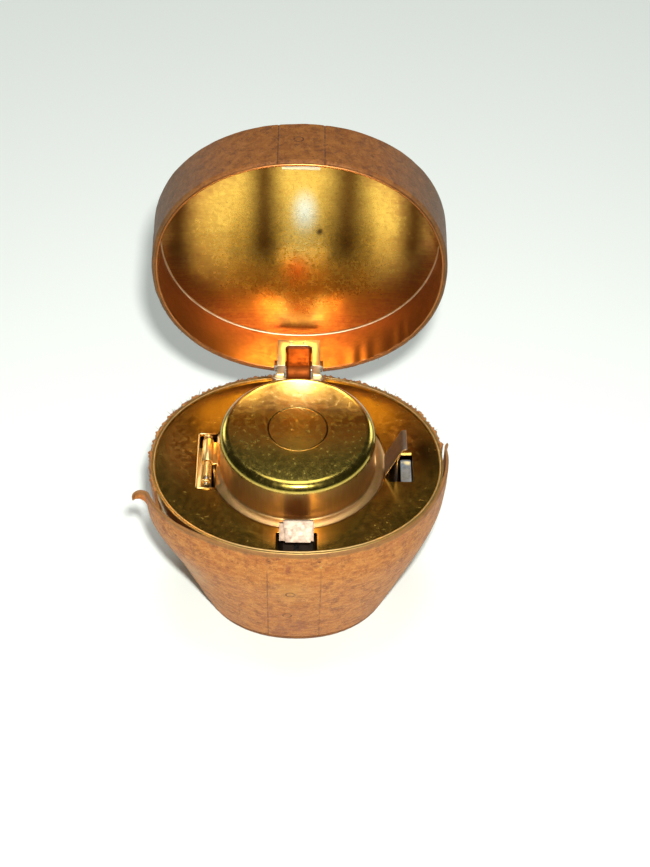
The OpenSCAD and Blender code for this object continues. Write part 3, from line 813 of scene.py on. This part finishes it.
SEAM_RIGHT = math.radians(8)
SEAM_LEFT = math.radians(200)
ROWS = 56


def wall_rows(low, high, count):
    """Heights from low to high, closer together at the two ends."""
    return [low + (high - low) * (0.5 - 0.5 * math.cos(math.pi * j / count)) for j in range(count + 1)]


def edge_depth(z, low, high, reach=0.35, most=0.28):
    """How far a worn edge is rounded away."""
    near = min(z - low, high - z)
    return most * (1 - smooth_step(0, reach, near)) if near < reach else 0.0


def columns(t0, t1, coarse, lines, half, z, fine=0.12):
    """Angles from t0 to t1, closer together beside pressed lines on the front."""
    out = [t0]
    while out[-1] < t1:
        t = out[-1]
        p = wall_point(half, t, z, 0)
        near = p.y < 0 and any(abs(p.x - line) < 0.7 for line in lines)
        out.append(t + (fine if near else coarse) / half(z)[0])
    out[-1] = t1
    return out


def groove(x, lines, width=0.2, depth=0.14):
    return sum(depth * math.exp(-(((x - line) / width) ** 2)) for line in lines)


def case_front_leather():
    """Front covering. Its two ends stand off the box, and thin tongues of them curl outwards."""
    left_end, right_end = SEAM_LEFT, SEAM_RIGHT + 2 * math.pi
    angles = columns(left_end, right_end, 0.42, STRAP_LINES, case_half, CASE_H)
    heights = wall_rows(FOOT_TOP, CASE_H, ROWS)

    def lift(t, z):
        left = 2.0 * (1 - smooth_step(0, math.radians(46), t - left_end)) * smooth_step(16, 38, z)
        right = 1.0 * (1 - smooth_step(0, math.radians(30), right_end - t)) * smooth_step(18, 39, z)
        return left + right

    def point(t, z, depth):
        p = wall_point(case_half, t, z, 0)
        out = wall_normal(case_half, t, z)
        wrinkle = 0.07 * rough(p, 5) + 0.035 * rough(p, 1.6, 7.0)
        if depth > 0:
            wrinkle *= 0.3
        top = -0.22 * abs(rough(p, 2.2, 3.0)) * smooth_step(CASE_H - 2, CASE_H, z)
        crease = 0.12 * math.exp(-(((z - 36.6) / 0.35) ** 2))
        crease *= (p.y < 0) * (1 - smooth_step(7.0, 8.5, abs(p.x)))
        marks = groove(p.x, STRAP_LINES) * (p.y < 0) * (1 - 0.7 * smooth_step(30, 38, z))
        p += out * (lift(t, z) + wrinkle - depth - (marks + crease) * (depth == 0))
        p.z += top
        return p

    def tongue(z, length, low):
        """How far the free end reaches past the seam at a height."""
        ragged = 0.35 * rough((z, 0, 0), 0.9, 5.0)
        return max(0.0, length + ragged) * smooth_step(low, CASE_H - 0.6, z)

    def curl(end, sign, z, reach, radius, depth):
        """A point reach past an end, on an arc that bends out of the wall."""
        start = point(end, z, 0)
        out = wall_normal(case_half, end, z)
        ahead = Vector((-out.y, out.x, 0)) * sign
        a = reach / radius
        face = out * math.cos(a) - ahead * math.sin(a)
        return start + ahead * (radius * math.sin(a)) + out * (radius * (1 - math.cos(a))) - face * depth

    def thick(t, z):
        loose = min(1.0, lift(t, z) / 1.0)
        return LEATHER_T - 0.25 * loose

    def worn(z):
        return edge_depth(z, FOOT_TOP, CASE_H)

    def add_tongue(share, end, sign, length, low, radius):
        """One column of a tongue, at a share of its reach past an end."""
        outer.append([curl(end, sign, z, share * tongue(z, length, low), radius, worn(z)) for z in heights])
        under = 0.62 - 0.3 * share
        inner.append([curl(end, sign, z, share * tongue(z, length, low), radius, under) for z in heights])

    outer, inner = [], []
    steps = 14
    for i in range(steps, 0, -1):
        add_tongue(i / steps, left_end, -1, 4.6, 36.8, 1.5)
    for t in angles:
        outer.append([point(t, z, 0) - wall_normal(case_half, t, z) * worn(z) for z in heights])
        inner.append([point(t, z, thick(t, z)) for z in heights])
    for i in range(1, steps + 1):
        add_tongue(i / steps, right_end, 1, 1.7, 36.5, 2.2)
    return dress(solid("case_leather_front", outer, inner), "tan", "case", ["leather_front"])


def case_back_leather():
    """Back covering, frayed into small teeth along the rim, with the hinge standing in a gap."""
    angles = columns(SEAM_RIGHT + 0.01, SEAM_LEFT - 0.01, 0.3, (), case_half, CASE_H)
    heights = wall_rows(FOOT_TOP, CASE_H, ROWS)

    def point(t, z, depth):
        p = wall_point(case_half, t, z, 0)
        out = wall_normal(case_half, t, z)
        wrinkle = 0.07 * rough(p, 5) + 0.035 * rough(p, 1.6, 7.0)
        near_top = smooth_step(CASE_H - 1.6, CASE_H, z)
        teeth = max(0.0, rough((p.x, p.y, 0), 0.6, 11.0)) * 1.9 + 0.4 * rough((p.x, p.y, 0), 2.4, 2.0)
        p += out * ((wrinkle if depth == 0 else 0.3 * wrinkle) - depth + 0.45 * teeth * near_top)
        p.z += near_top * min(0.05, 0.55 * teeth - 0.15)
        return p

    outer = [[point(t, z, edge_depth(z, FOOT_TOP, CASE_H)) for z in heights] for t in angles]
    inner = [[point(t, z, LEATHER_T) for z in heights] for t in angles]
    obj = solid("case_leather_back", outer, inner)
    cut(obj, [box_cutter((-HINGE_GAP, RIM_B - 4, CASE_H - 1.2), (HINGE_GAP, RIM_B + 3, CASE_H + 3))])
    return dress(obj, "tan_back", "case", ["leather_back"])


def strands(name, roots, seed, mat, body):
    """Loose fibres: each root is (point, direction, length, thickness)."""
    rng = random.Random(seed)
    verts, faces = [], []
    joints = 4
    for start, way, length, thickness in roots:
        way = way.normalized()
        side = way.cross(Vector((0.3, 0.2, 1))).normalized()
        other = way.cross(side)
        bend = Vector((rng.uniform(-1, 1), rng.uniform(-1, 1), rng.uniform(-0.6, 1))) * 0.7
        base = len(verts)
        for k in range(joints + 1):
            s = k / joints
            centre = start + (way * s + bend * s * s * 0.5) * length
            r = thickness * (1 - 0.85 * s)
            for c in range(3):
                a = 2 * math.pi * c / 3
                verts.append(centre + side * (r * math.cos(a)) + other * (r * math.sin(a)))
        for k in range(joints):
            for c in range(3):
                n = (c + 1) % 3
                a, b = base + 3 * k, base + 3 * (k + 1)
                faces.append((a + c, a + n, b + n, b + c))
        faces.append((base, base + 2, base + 1))
        end = base + 3 * joints
        faces.append((end, end + 1, end + 2))
    return dress(new_object(name, verts, faces), mat, body)


def bare_rim(p):
    """True in the hinge's gap and where the rim has no fibres, which is rarer at the two ends."""
    in_gap = abs(p.x) < HINGE_GAP and p.y > 0
    return in_gap or noise.noise(p * 0.35) + 0.25 * (abs(p.x) > 18) < -0.05


def case_fibres():
    """Fibres along the back half of the rim and on the torn ends of the front covering."""
    rng = random.Random(5)
    roots = []
    for _ in range(420):
        t = rng.uniform(SEAM_RIGHT, SEAM_LEFT)
        p = wall_point(case_half, t, CASE_H, 0.25 + 0.35 * rng.random())
        if bare_rim(p):
            continue
        out = wall_normal(case_half, t, CASE_H)
        way = out * rng.uniform(0.2, 1.2)
        way += Vector((0, 0, rng.uniform(0.1, 1.0)))
        way += Vector((out.y, -out.x, 0)) * rng.uniform(-0.7, 0.7)
        length = rng.uniform(0.25, 0.6) if rng.random() < 0.88 or abs(p.x) < 18 else rng.uniform(0.8, 1.7)
        roots.append((p - Vector((0, 0, 0.25)), way, length, rng.uniform(0.05, 0.13)))
    return strands("case_fibres", roots, 9, "rim", "case")


# ---- Deck, well and inner lid ----


def deck_plate():
    """Top plate with the round opening and its three slots."""
    inset = LEATHER_T + SHELL_T + 0.05
    outline = [oval_point(RIM_A - inset, RIM_B - inset, 2 * math.pi * i / 320, 0)[:2] for i in range(320)]
    obj = prism("deck", outline, DECK_LOW, DECK_TOP)
    low, high = DECK_LOW - 1, DECK_TOP + 1
    turns = [2 * math.pi * i / 288 for i in range(288)]
    circle = [(WELL_R * math.cos(t), WELL_R * math.sin(t)) for t in turns]
    slots = (
        round_rect(-22.8, -14, -8.4, 8.4, 0.4),
        round_rect(-4.6, 4.6, -26.6, -21.4, 0.3),
        round_rect(20.9, 26.5, -5.85, 3.15, 0.3),
        round_rect(-HINGE_SLOT, HINGE_SLOT, RIM_B - 3.3, RIM_B + 1, 0.2),
    )
    cut(obj, [prism("cutter", circle, low, high)] + [prism("cutter", s, low, high) for s in slots])
    soften(obj, 0.1, 2, 30)
    return dress(obj, "deck", "case", ["deck_plate"])


def inner_cap():
    """Spun cap with a rounded shoulder, an incised ring and a flange cut straight beside its hinge."""
    shoulder = 2.3
    low = DECK_TOP - 0.7
    r0 = CAP_R - CAP_T
    ring_w, ring_d = 0.12, 0.07
    dish = 0.34

    def arc(r, start, end, steps=12):
        for i in range(steps + 1):
            a = math.radians(start + (end - start) * i / steps)
            yield CAP_R - shoulder + r * math.cos(a), CAP_TOP - dish - shoulder + r * math.sin(a)

    under = CAP_TOP - CAP_T - dish
    profile = [(0, under), (12.0, under)] + list(arc(shoulder - CAP_T, 90, 0))
    profile += [(r0, low), (FLANGE_R - 0.12, low), (FLANGE_R, low + 0.12)]
    profile += [(FLANGE_R, DECK_TOP - 0.12), (FLANGE_R - 0.12, DECK_TOP)]
    profile += [(CAP_R + 0.55, DECK_TOP), (CAP_R + 0.2, DECK_TOP + 0.08), (CAP_R, DECK_TOP + 0.45)]
    profile += [(CAP_R, DECK_TOP + 0.45 + 0.9 * k) for k in range(1, 9)]
    profile += list(arc(shoulder, 0, 90))
    reach = CAP_R - shoulder

    def dome(r):
        return CAP_TOP - dish * (r / reach) ** 2.6

    tops = [0.985, 0.95, 0.9, 0.85, 0.8, 0.72, 0.64, 0.56]
    profile += [(reach * k, dome(reach * k)) for k in tops]
    level = dome(RING_R)
    profile += [(RING_R + ring_w + 0.1, level), (RING_R + ring_w, level), (RING_R, level - ring_d)]
    profile += [(RING_R - ring_w, level), (RING_R - ring_w - 0.1, level)]
    profile += [(5.0, dome(5.0)), (3.0, dome(3.0)), (1.2, dome(1.2)), (0, CAP_TOP)]
    obj = lathe("inner_cap", profile)
    cut(obj, [box_cutter((-FLANGE_R - 1, -8.6, low - 1), (-18.6, 8.6, DECK_TOP + 0.06))])
    return dress(obj, "cap", "inner_lid", ["inner_lid_cap"])


# ---- Lid ----


def lid_gap_cutter(reach):
    return box_cutter((-HINGE_GAP, RIM_B - 4, LID_LOW - 1), (HINGE_GAP, RIM_B + reach, PIN.z + 1.7))


def lid_skirt():
    """Brass wall of the lid, with ripples near the rim where it was knocked back into shape."""
    steps = 720
    heights = wall_rows(LID_LOW, CROWN_LOW, 30)

    def point(t, z, depth):
        p = wall_point(lid_half, t, z, depth)
        if depth > LEATHER_T:
            turn = math.degrees(t)
            where = smooth_step(18, 34, turn) * (1 - smooth_step(62, 80, turn))
            where *= 1 - smooth_step(LID_LOW + 3, LID_LOW + 11, z)
            ripple = 0.09 * where * math.sin(t * 46 + 0.8 * math.sin(t * 17))
            dent = 0.05 * rough(p, 7, 4.0)
            p -= wall_normal(lid_half, t, z) * (ripple + dent)
        return p

    turns = [2 * math.pi * i / steps for i in range(steps)]
    outer = [[point(t, z, LEATHER_T) for z in heights] for t in turns]
    inner = [[point(t, z, LEATHER_T + SHELL_T) for z in heights] for t in turns]
    obj = solid("lid_skirt", outer, inner, around=True)
    cut(obj, [lid_gap_cutter(2)])
    open_lid(obj)
    return dress(obj, "skirt", "outer_lid", ["lid_shell"])


def dome_height(share, low, rise):
    return low + rise * (1 - share**2.4)


def lid_crown():
    """Slightly domed and slightly uneven brass panel across the top of the lid."""
    a, b = lid_half(LID_TOP)

    def surface(low):
        def point(share, t):
            p = oval_point((a - LEATHER_T - 0.02) * share, (b - LEATHER_T - 0.02) * share, t, 0)
            wave = 0.16 * math.cos(p.x * 0.55 - 0.4) + 0.05 * rough((p.x, 0.2 * p.y, 0), 4, 1.5)
            p.z = dome_height(share, low, CROWN_RISE) + (1 - share**4) * wave * 0.6
            return p
        return point

    shares = [((i + 1) / 44) ** 0.8 for i in range(44)]
    obj = disc("lid_crown_panel", surface(CROWN_LOW + CROWN_T), surface(CROWN_LOW), shares, 240)
    open_lid(obj)
    return dress(obj, "crown", "outer_lid", ["lid_crown"])


def lid_seam():
    """Fillet of solder where the crown meets the wall."""
    r = 0.32
    steps = 360
    inset = LEATHER_T + SHELL_T
    section = [(0, 0.02), (0, -r * 1.2), (r * 0.35, -r * 0.45), (r, 0.02)]
    verts, faces = [], []
    for i in range(steps):
        t = 2 * math.pi * i / steps
        wave = 1 + 0.25 * rough((math.cos(t) * 30, math.sin(t) * 30, 0), 3)
        a, b = lid_half(CROWN_LOW)
        for depth, dz in section:
            inward = inset + depth * wave
            verts.append(oval_point(a - inward, b - inward, t, CROWN_LOW + dz * wave))
    n = len(section)
    for i in range(steps):
        p, q = i * n, (i + 1) % steps * n
        faces += [(p + j, q + j, q + (j + 1) % n, p + (j + 1) % n) for j in range(n)]
    obj = new_object("lid_seam", verts, faces)
    open_lid(obj)
    return dress(obj, "bright", "outer_lid")


def lid_band_leather():
    """Leather round the lid's wall, pressed with two strap lines at the front, its rim worn."""
    angles = columns(0.0, 2 * math.pi, 0.42, LID_LINES, lid_half, LID_TOP)[:-1]
    top = LID_TOP - 0.25
    heights = wall_rows(LID_LOW, top, 30)

    def point(t, z, depth):
        p = wall_point(lid_half, t, z, 0)
        out = wall_normal(lid_half, t, z)
        wrinkle = 0.06 * rough(p, 4.5, 1.0) + 0.035 * rough(p, 1.5, 6.0)
        marks = groove(p.x, LID_LINES) if p.y < 0 else 0.0
        fray = 0.16 * rough((p.x, p.y, 0), 0.6, 3.0) + 0.1 * rough((p.x, p.y, 0), 2.5, 5.0)
        fray *= 1 - smooth_step(LID_LOW, LID_LOW + 1.2, z)
        if depth > 0:
            return p - out * depth + Vector((0, 0, 0.3 * abs(fray)))
        p += out * (wrinkle - marks - edge_depth(z, LID_LOW, top + 1, 0.5, 0.3))
        p.z += abs(fray)
        return p

    outer = [[point(t, z, 0) for z in heights] for t in angles]
    inner = [[point(t, z, LEATHER_T) for z in heights] for t in angles]
    obj = solid("lid_leather_side", outer, inner, around=True)
    cut(obj, [lid_gap_cutter(3)])
    open_lid(obj)
    return dress(obj, "lid_leather", "outer_lid", ["lid_leather_band"])


def lid_top_leather():
    """Leather over the crown, turned down a little over the band."""
    a, b = lid_half(LID_TOP)

    def top(share, t):
        p = oval_point((a - 0.12) * share, (b - 0.12) * share, t, 0)
        p.z = dome_height(share, CROWN_LOW + CROWN_T, CROWN_RISE) + 0.86
        p.z += 0.08 * rough(p, 5, 2.0) + 0.03 * rough(p, 1.4, 4.0) - 0.42 * smooth_step(0.965, 1.0, share)
        return p

    def bottom(share, t):
        p = oval_point((a - 0.12) * share, (b - 0.12) * share, t, 0)
        p.z = dome_height(share, CROWN_LOW + CROWN_T, CROWN_RISE) + 0.03
        return p

    shares = sorted([((i + 1) / 36) ** 0.8 for i in range(36)] + [0.975, 0.988, 0.996])
    obj = disc("lid_leather_cover", top, bottom, shares, 300)
    open_lid(obj)
    return dress(obj, "lid_leather", "outer_lid", ["lid_leather_top"])


def lid_fibres():
    """A few fibres on the lid's rim."""
    rng = random.Random(12)
    roots = []
    for _ in range(110):
        t = rng.uniform(0, 2 * math.pi)
        p = wall_point(lid_half, t, LID_LOW, 0.2 + 0.4 * rng.random())
        if bare_rim(p):
            continue
        out = wall_normal(lid_half, t, LID_LOW)
        way = out * rng.uniform(-0.1, 1.0)
        way += Vector((0, 0, -rng.uniform(0.3, 1.0)))
        way += Vector((out.y, -out.x, 0)) * rng.uniform(-0.8, 0.8)
        roots.append((p + Vector((0, 0, 0.2)), way, rng.uniform(0.25, 0.8), rng.uniform(0.03, 0.06)))
    obj = strands("lid_fibres", roots, 4, "lid_leather", "outer_lid")
    open_lid(obj)
    return obj


# ---- Springs and catches ----


def in_yz(flat, u):
    return Vector((u, flat.x, flat.y))


def lid_leaf_spring():
    """Flat copper-coloured spring from the case, over the knuckle and on to the lid's wall."""
    back = PIN.y - 2.65
    points = [(back, CASE_H - 8), (back, CASE_H + 1.2)]
    points += [(back + 0.7, CASE_H + 2.4), (PIN.y - 0.8, PIN.z + 1.65)]
    for reach in (1.5, 7.0):
        p = opened((0, PIN.y - 1.6, PIN.z + reach))
        points.append((p.y, p.z))
    obj = sheet_strip("leaf_spring", smooth_path(points, 1.1), 0.33, lambda share: 2.95, in_yz, 0.02)
    obj.data.materials.append(MATS["spring"])
    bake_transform(obj)
    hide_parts("lid_spring")
    return obj


def front_catch():
    """Head of the outer lid's catch: a leaf folded into a sloping face, with cheeks behind it."""
    y = JOINTS["outer_catch_flex"]["pos_m"][1] / MM
    fold = DECK_TOP + 5.3
    path = smooth_path([(y, 33.0), (y, fold), (y - 4.0, DECK_TOP + 2.2)], 0.55)
    total = fold - 33.0 + 5.0

    def half(share):
        return 3.3 - 0.5 * smooth_step(0, 1, (share * total - (fold - 33.0)) / 5.0)

    def beside(flat, u):
        return Vector((u + 0.35, flat.x, flat.y))

    face = sheet_strip("front_catch", path, 0.5, half, beside, 0.05)
    soften(face, 0.1)
    dress(face, "catch", "outer_catch", ["outer_catch_head"])
    lower = smooth_path([(y + 0.1, 33.0), (y + 0.1, fold - 0.95), (y - 3.2, DECK_TOP + 1.75)], 0.5)
    # The cheeks take the darker copy of the catch brass, painted shade.
    cheeks = sheet_strip("front_catch_cheeks", lower, 0.3, lambda share: 3.8, in_yz, 0.05)
    soften(cheeks, 0.08)
    return dress(cheeks, "cheek", "outer_catch")


def side_catch():
    """Head of the inner lid's catch: a leaf that sweeps outwards and a steep hook plate."""
    x = JOINTS["inner_catch_flex"]["pos_m"][0] / MM
    y = JOINTS["inner_catch_flex"]["pos_m"][1] / MM
    fold = (x + 0.9, DECK_TOP + 8.9)

    def place(flat, u):
        return Vector((flat.x, y + u, flat.y))

    leaf = smooth_path([(x, 33.0), (x, DECK_TOP + 1.6), (x - 0.1, DECK_TOP + 4.2), fold], 1.6)
    hook = smooth_path([(x - 2.55, DECK_TOP + 0.6), fold, (x + 1.9, DECK_TOP + 9.1)], 0.5)
    parts = []
    for name, path, half in (("catch_leaf", leaf, 2.5), ("catch_hook", hook, 3.1)):
        obj = sheet_strip(name, path, 0.48, lambda share, h=half: h, place, 0.05)
        soften(obj, 0.08)
        parts.append(dress(obj, "catch", "inner_catch"))
    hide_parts("inner_catch_head")
    return parts


def catch_foot():
    """Grey steel foot of the side catch, seen through its slot."""
    obj = prism("side_catch_foot", round_rect(23.8, 26.3, -5.6, 2.9, 0.4), DECK_LOW - 1.6, DECK_LOW - 1.2)
    soften(obj, 0.08)
    dress(obj, "foot", "case")


def hinge_bars():
    """Round bars of the outer lid's hinge: a pair on the lid, and a pair on the case with thin bent ends."""
    pairs = (
        ("lid", 3.4, 5.3, -0.1, 1.0, 0.42, "outer_lid"),
        ("case", 3.5, 5.25, -0.65, -1.15, 0.4, "case"),
    )
    run = ((5.1, -0.65, -0.95), (5.45, -0.7, -1.2), (5.5, -0.9, -2.6))
    for name, side in (("left", -1), ("right", 1)):
        for part, low, high, y, z, radius, body in pairs:
            path = [(side * x, PIN.y + y, PIN.z + z) for x in (low, (low + high) / 2, high)]
            bar = tube(f"hinge_bar_{part}_{name}", path, radius)
            soften(bar, 0.12)
            dress(bar, "bright", body)
        bends = [(side * x, PIN.y + y, PIN.z + z) for x, y, z in run]
        wire = tube(f"hinge_wire_{name}", smooth_path(bends, 0.5, 6, even=False), 0.2)
        dress(wire, "bright", "case")


def slot_lip():
    """Rolled edge of the slot beside the inner lid's hinge."""
    z = DECK_TOP - 0.05
    corners = [(-19.2, 8.45, z), (-22.85, 8.45, z), (-22.85, -8.45, z), (-19.2, -8.45, z)]
    path = smooth_path(corners, 0.5, 6)
    dress(tube("inner_slot_lip", path, 0.2), "hinge", "case")


def rim_bead():
    """Bright upper edge of the brass box, inside the leather."""
    inset = LEATHER_T + 0.28
    gap = 11
    start = math.radians(90 + gap)
    end = math.radians(90 + 360 - gap)
    count = 300
    turns = [start + (end - start) * i / count for i in range(count + 1)]
    path = [oval_point(RIM_A - inset, RIM_B - inset, t, CASE_H - 0.2) for t in turns]
    dress(tube("rim_bead", path, 0.24, sides=10), "hinge", "case")


# ---- CAD nodes that keep their shape ----

CAD_LOOKS = {
    "box": [
        "case_shell", "well_cup", "outer_catch_bracket", "inner_catch_bracket",
        "seal_retainer", "seal_plate", "press_plate", "rim_band",
    ],
    "bright": [
        "base_hinge_leaf", "base_hinge_rivets", "inner_hinge_rivets", "outer_catch_rivets",
        "inner_catch_rivets", "lid_hinge_leaf", "lid_hinge_rivets", "lid_keeper",
    ],
    "hinge": ["inner_hinge_bracket", "inner_hinge_spring", "inner_lid_knuckle"],
    "steel": [
        "lid_hinge_pin", "inner_hinge_pin", "outer_catch_spring", "inner_catch_spring",
        "seal_spring", "press_guide_pins", "press_pusher",
    ],
    "lid_leather": ["base_leather"],
    "seal": ["seal_pad"],
    "felt": ["bottle_cushion"],
    "wood": ["well_block"],
    "glass": ["ink_bottle"],
}
# Widths of the nodes' rounded edges
ROUNDED = {
    0.06: ["rim_band"],
    0.08: ["lid_keeper"],
    0.1: [
        "base_hinge_leaf", "inner_hinge_bracket", "lid_hinge_leaf", "inner_lid_knuckle", "lid_hinge_rivets",
    ],
    0.12: [
        "lid_hinge_pin", "inner_hinge_pin", "base_hinge_rivets", "inner_hinge_rivets",
        "outer_catch_rivets", "inner_catch_rivets",
    ],
    0.2: ["base_leather", "bottle_cushion"],
    0.3: ["well_block", "seal_pad"],
}


def dress_cad_nodes():
    for mat, names in CAD_LOOKS.items():
        for name in names:
            obj = frame["nodes"][name]
            obj.data.materials.clear()
            obj.data.materials.append(MATS[mat])
    for width, names in ROUNDED.items():
        for name in names:
            soften(frame["nodes"][name], width)


# ---- Floor, light and camera ----


def look_at(obj, target, roll=0.0):
    way = (Vector(target) - obj.location).normalized()
    obj.rotation_mode = "QUATERNION"
    obj.rotation_quaternion = way.to_track_quat("-Z", "Y") @ Matrix.Rotation(roll, 3, "Z").to_quaternion()


def floor():
    mesh = bpy.data.meshes.new("floor")
    r = 3.0
    mesh.from_pydata([(-r, -r, 0), (r, -r, 0), (r, r, 0), (-r, r, 0)], [], [(0, 1, 2, 3)])
    obj = bpy.data.objects.new("floor", mesh)
    bpy.context.scene.collection.objects.link(obj)
    g = Graph("floor_paper")
    color = g.mix(g.noise(0.01, 3), (0.84, 0.90, 0.86), (0.86, 0.92, 0.88))
    mesh.materials.append(g.set(color=color, rough=0.8, specular=0.2))


def area_light(name, place, target, size, power, color=(1, 1, 1)):
    data = bpy.data.lights.new(name, "AREA")
    data.shape = "DISK"
    data.size = size
    data.energy = power
    data.color = color
    obj = bpy.data.objects.new(name, data)
    bpy.context.scene.collection.objects.link(obj)
    obj.location = place
    look_at(obj, target)
    return obj


def lights():
    centre = (0, 0, 0.04)
    flash = area_light("flash", (0.014, -0.258, 0.370), centre, 0.022, 2.35, (1, 0.985, 0.95))
    flash.visible_camera = False
    for name, place, size, power in (
        ("overhead", (0, 0.15, 1.0), 0.5, 3.3),
        ("back_left", (-0.75, 0.75, 0.36), 0.4, 2.1),
        ("back_right", (0.75, 0.75, 0.36), 0.4, 2.2),
    ):
        area_light(name, place, centre, size, power).visible_camera = False
    world = bpy.data.worlds.new("studio")
    world.use_nodes = True
    world.node_tree.nodes["Background"].inputs["Color"].default_value = (0.62, 0.68, 0.55, 1)
    world.node_tree.nodes["Background"].inputs["Strength"].default_value = 0.045
    bpy.context.scene.world = world


def camera():
    data = bpy.data.cameras.new("camera")
    data.lens = 74.48
    data.sensor_width = 36
    data.clip_start = 0.01
    obj = bpy.data.objects.new("camera", data)
    bpy.context.scene.collection.objects.link(obj)
    obj.location = Vector((0.2, -279.4, 343.5)) * MM
    look_at(obj, Vector((6.38, 10.15, 39.41)) * MM, math.radians(1.604))
    bpy.context.scene.camera = obj
    bpy.context.scene.view_settings.view_transform = "Standard"


camera()
floor()
lights()
dress_cad_nodes()
case_front_leather()
case_back_leather()
case_fibres()
deck_plate()
inner_cap()
lid_skirt()
lid_crown()
lid_seam()
lid_band_leather()
lid_top_leather()
lid_fibres()
lid_leaf_spring()
front_catch()
side_catch()
catch_foot()
hinge_bars()
slot_lip()
rim_bead()
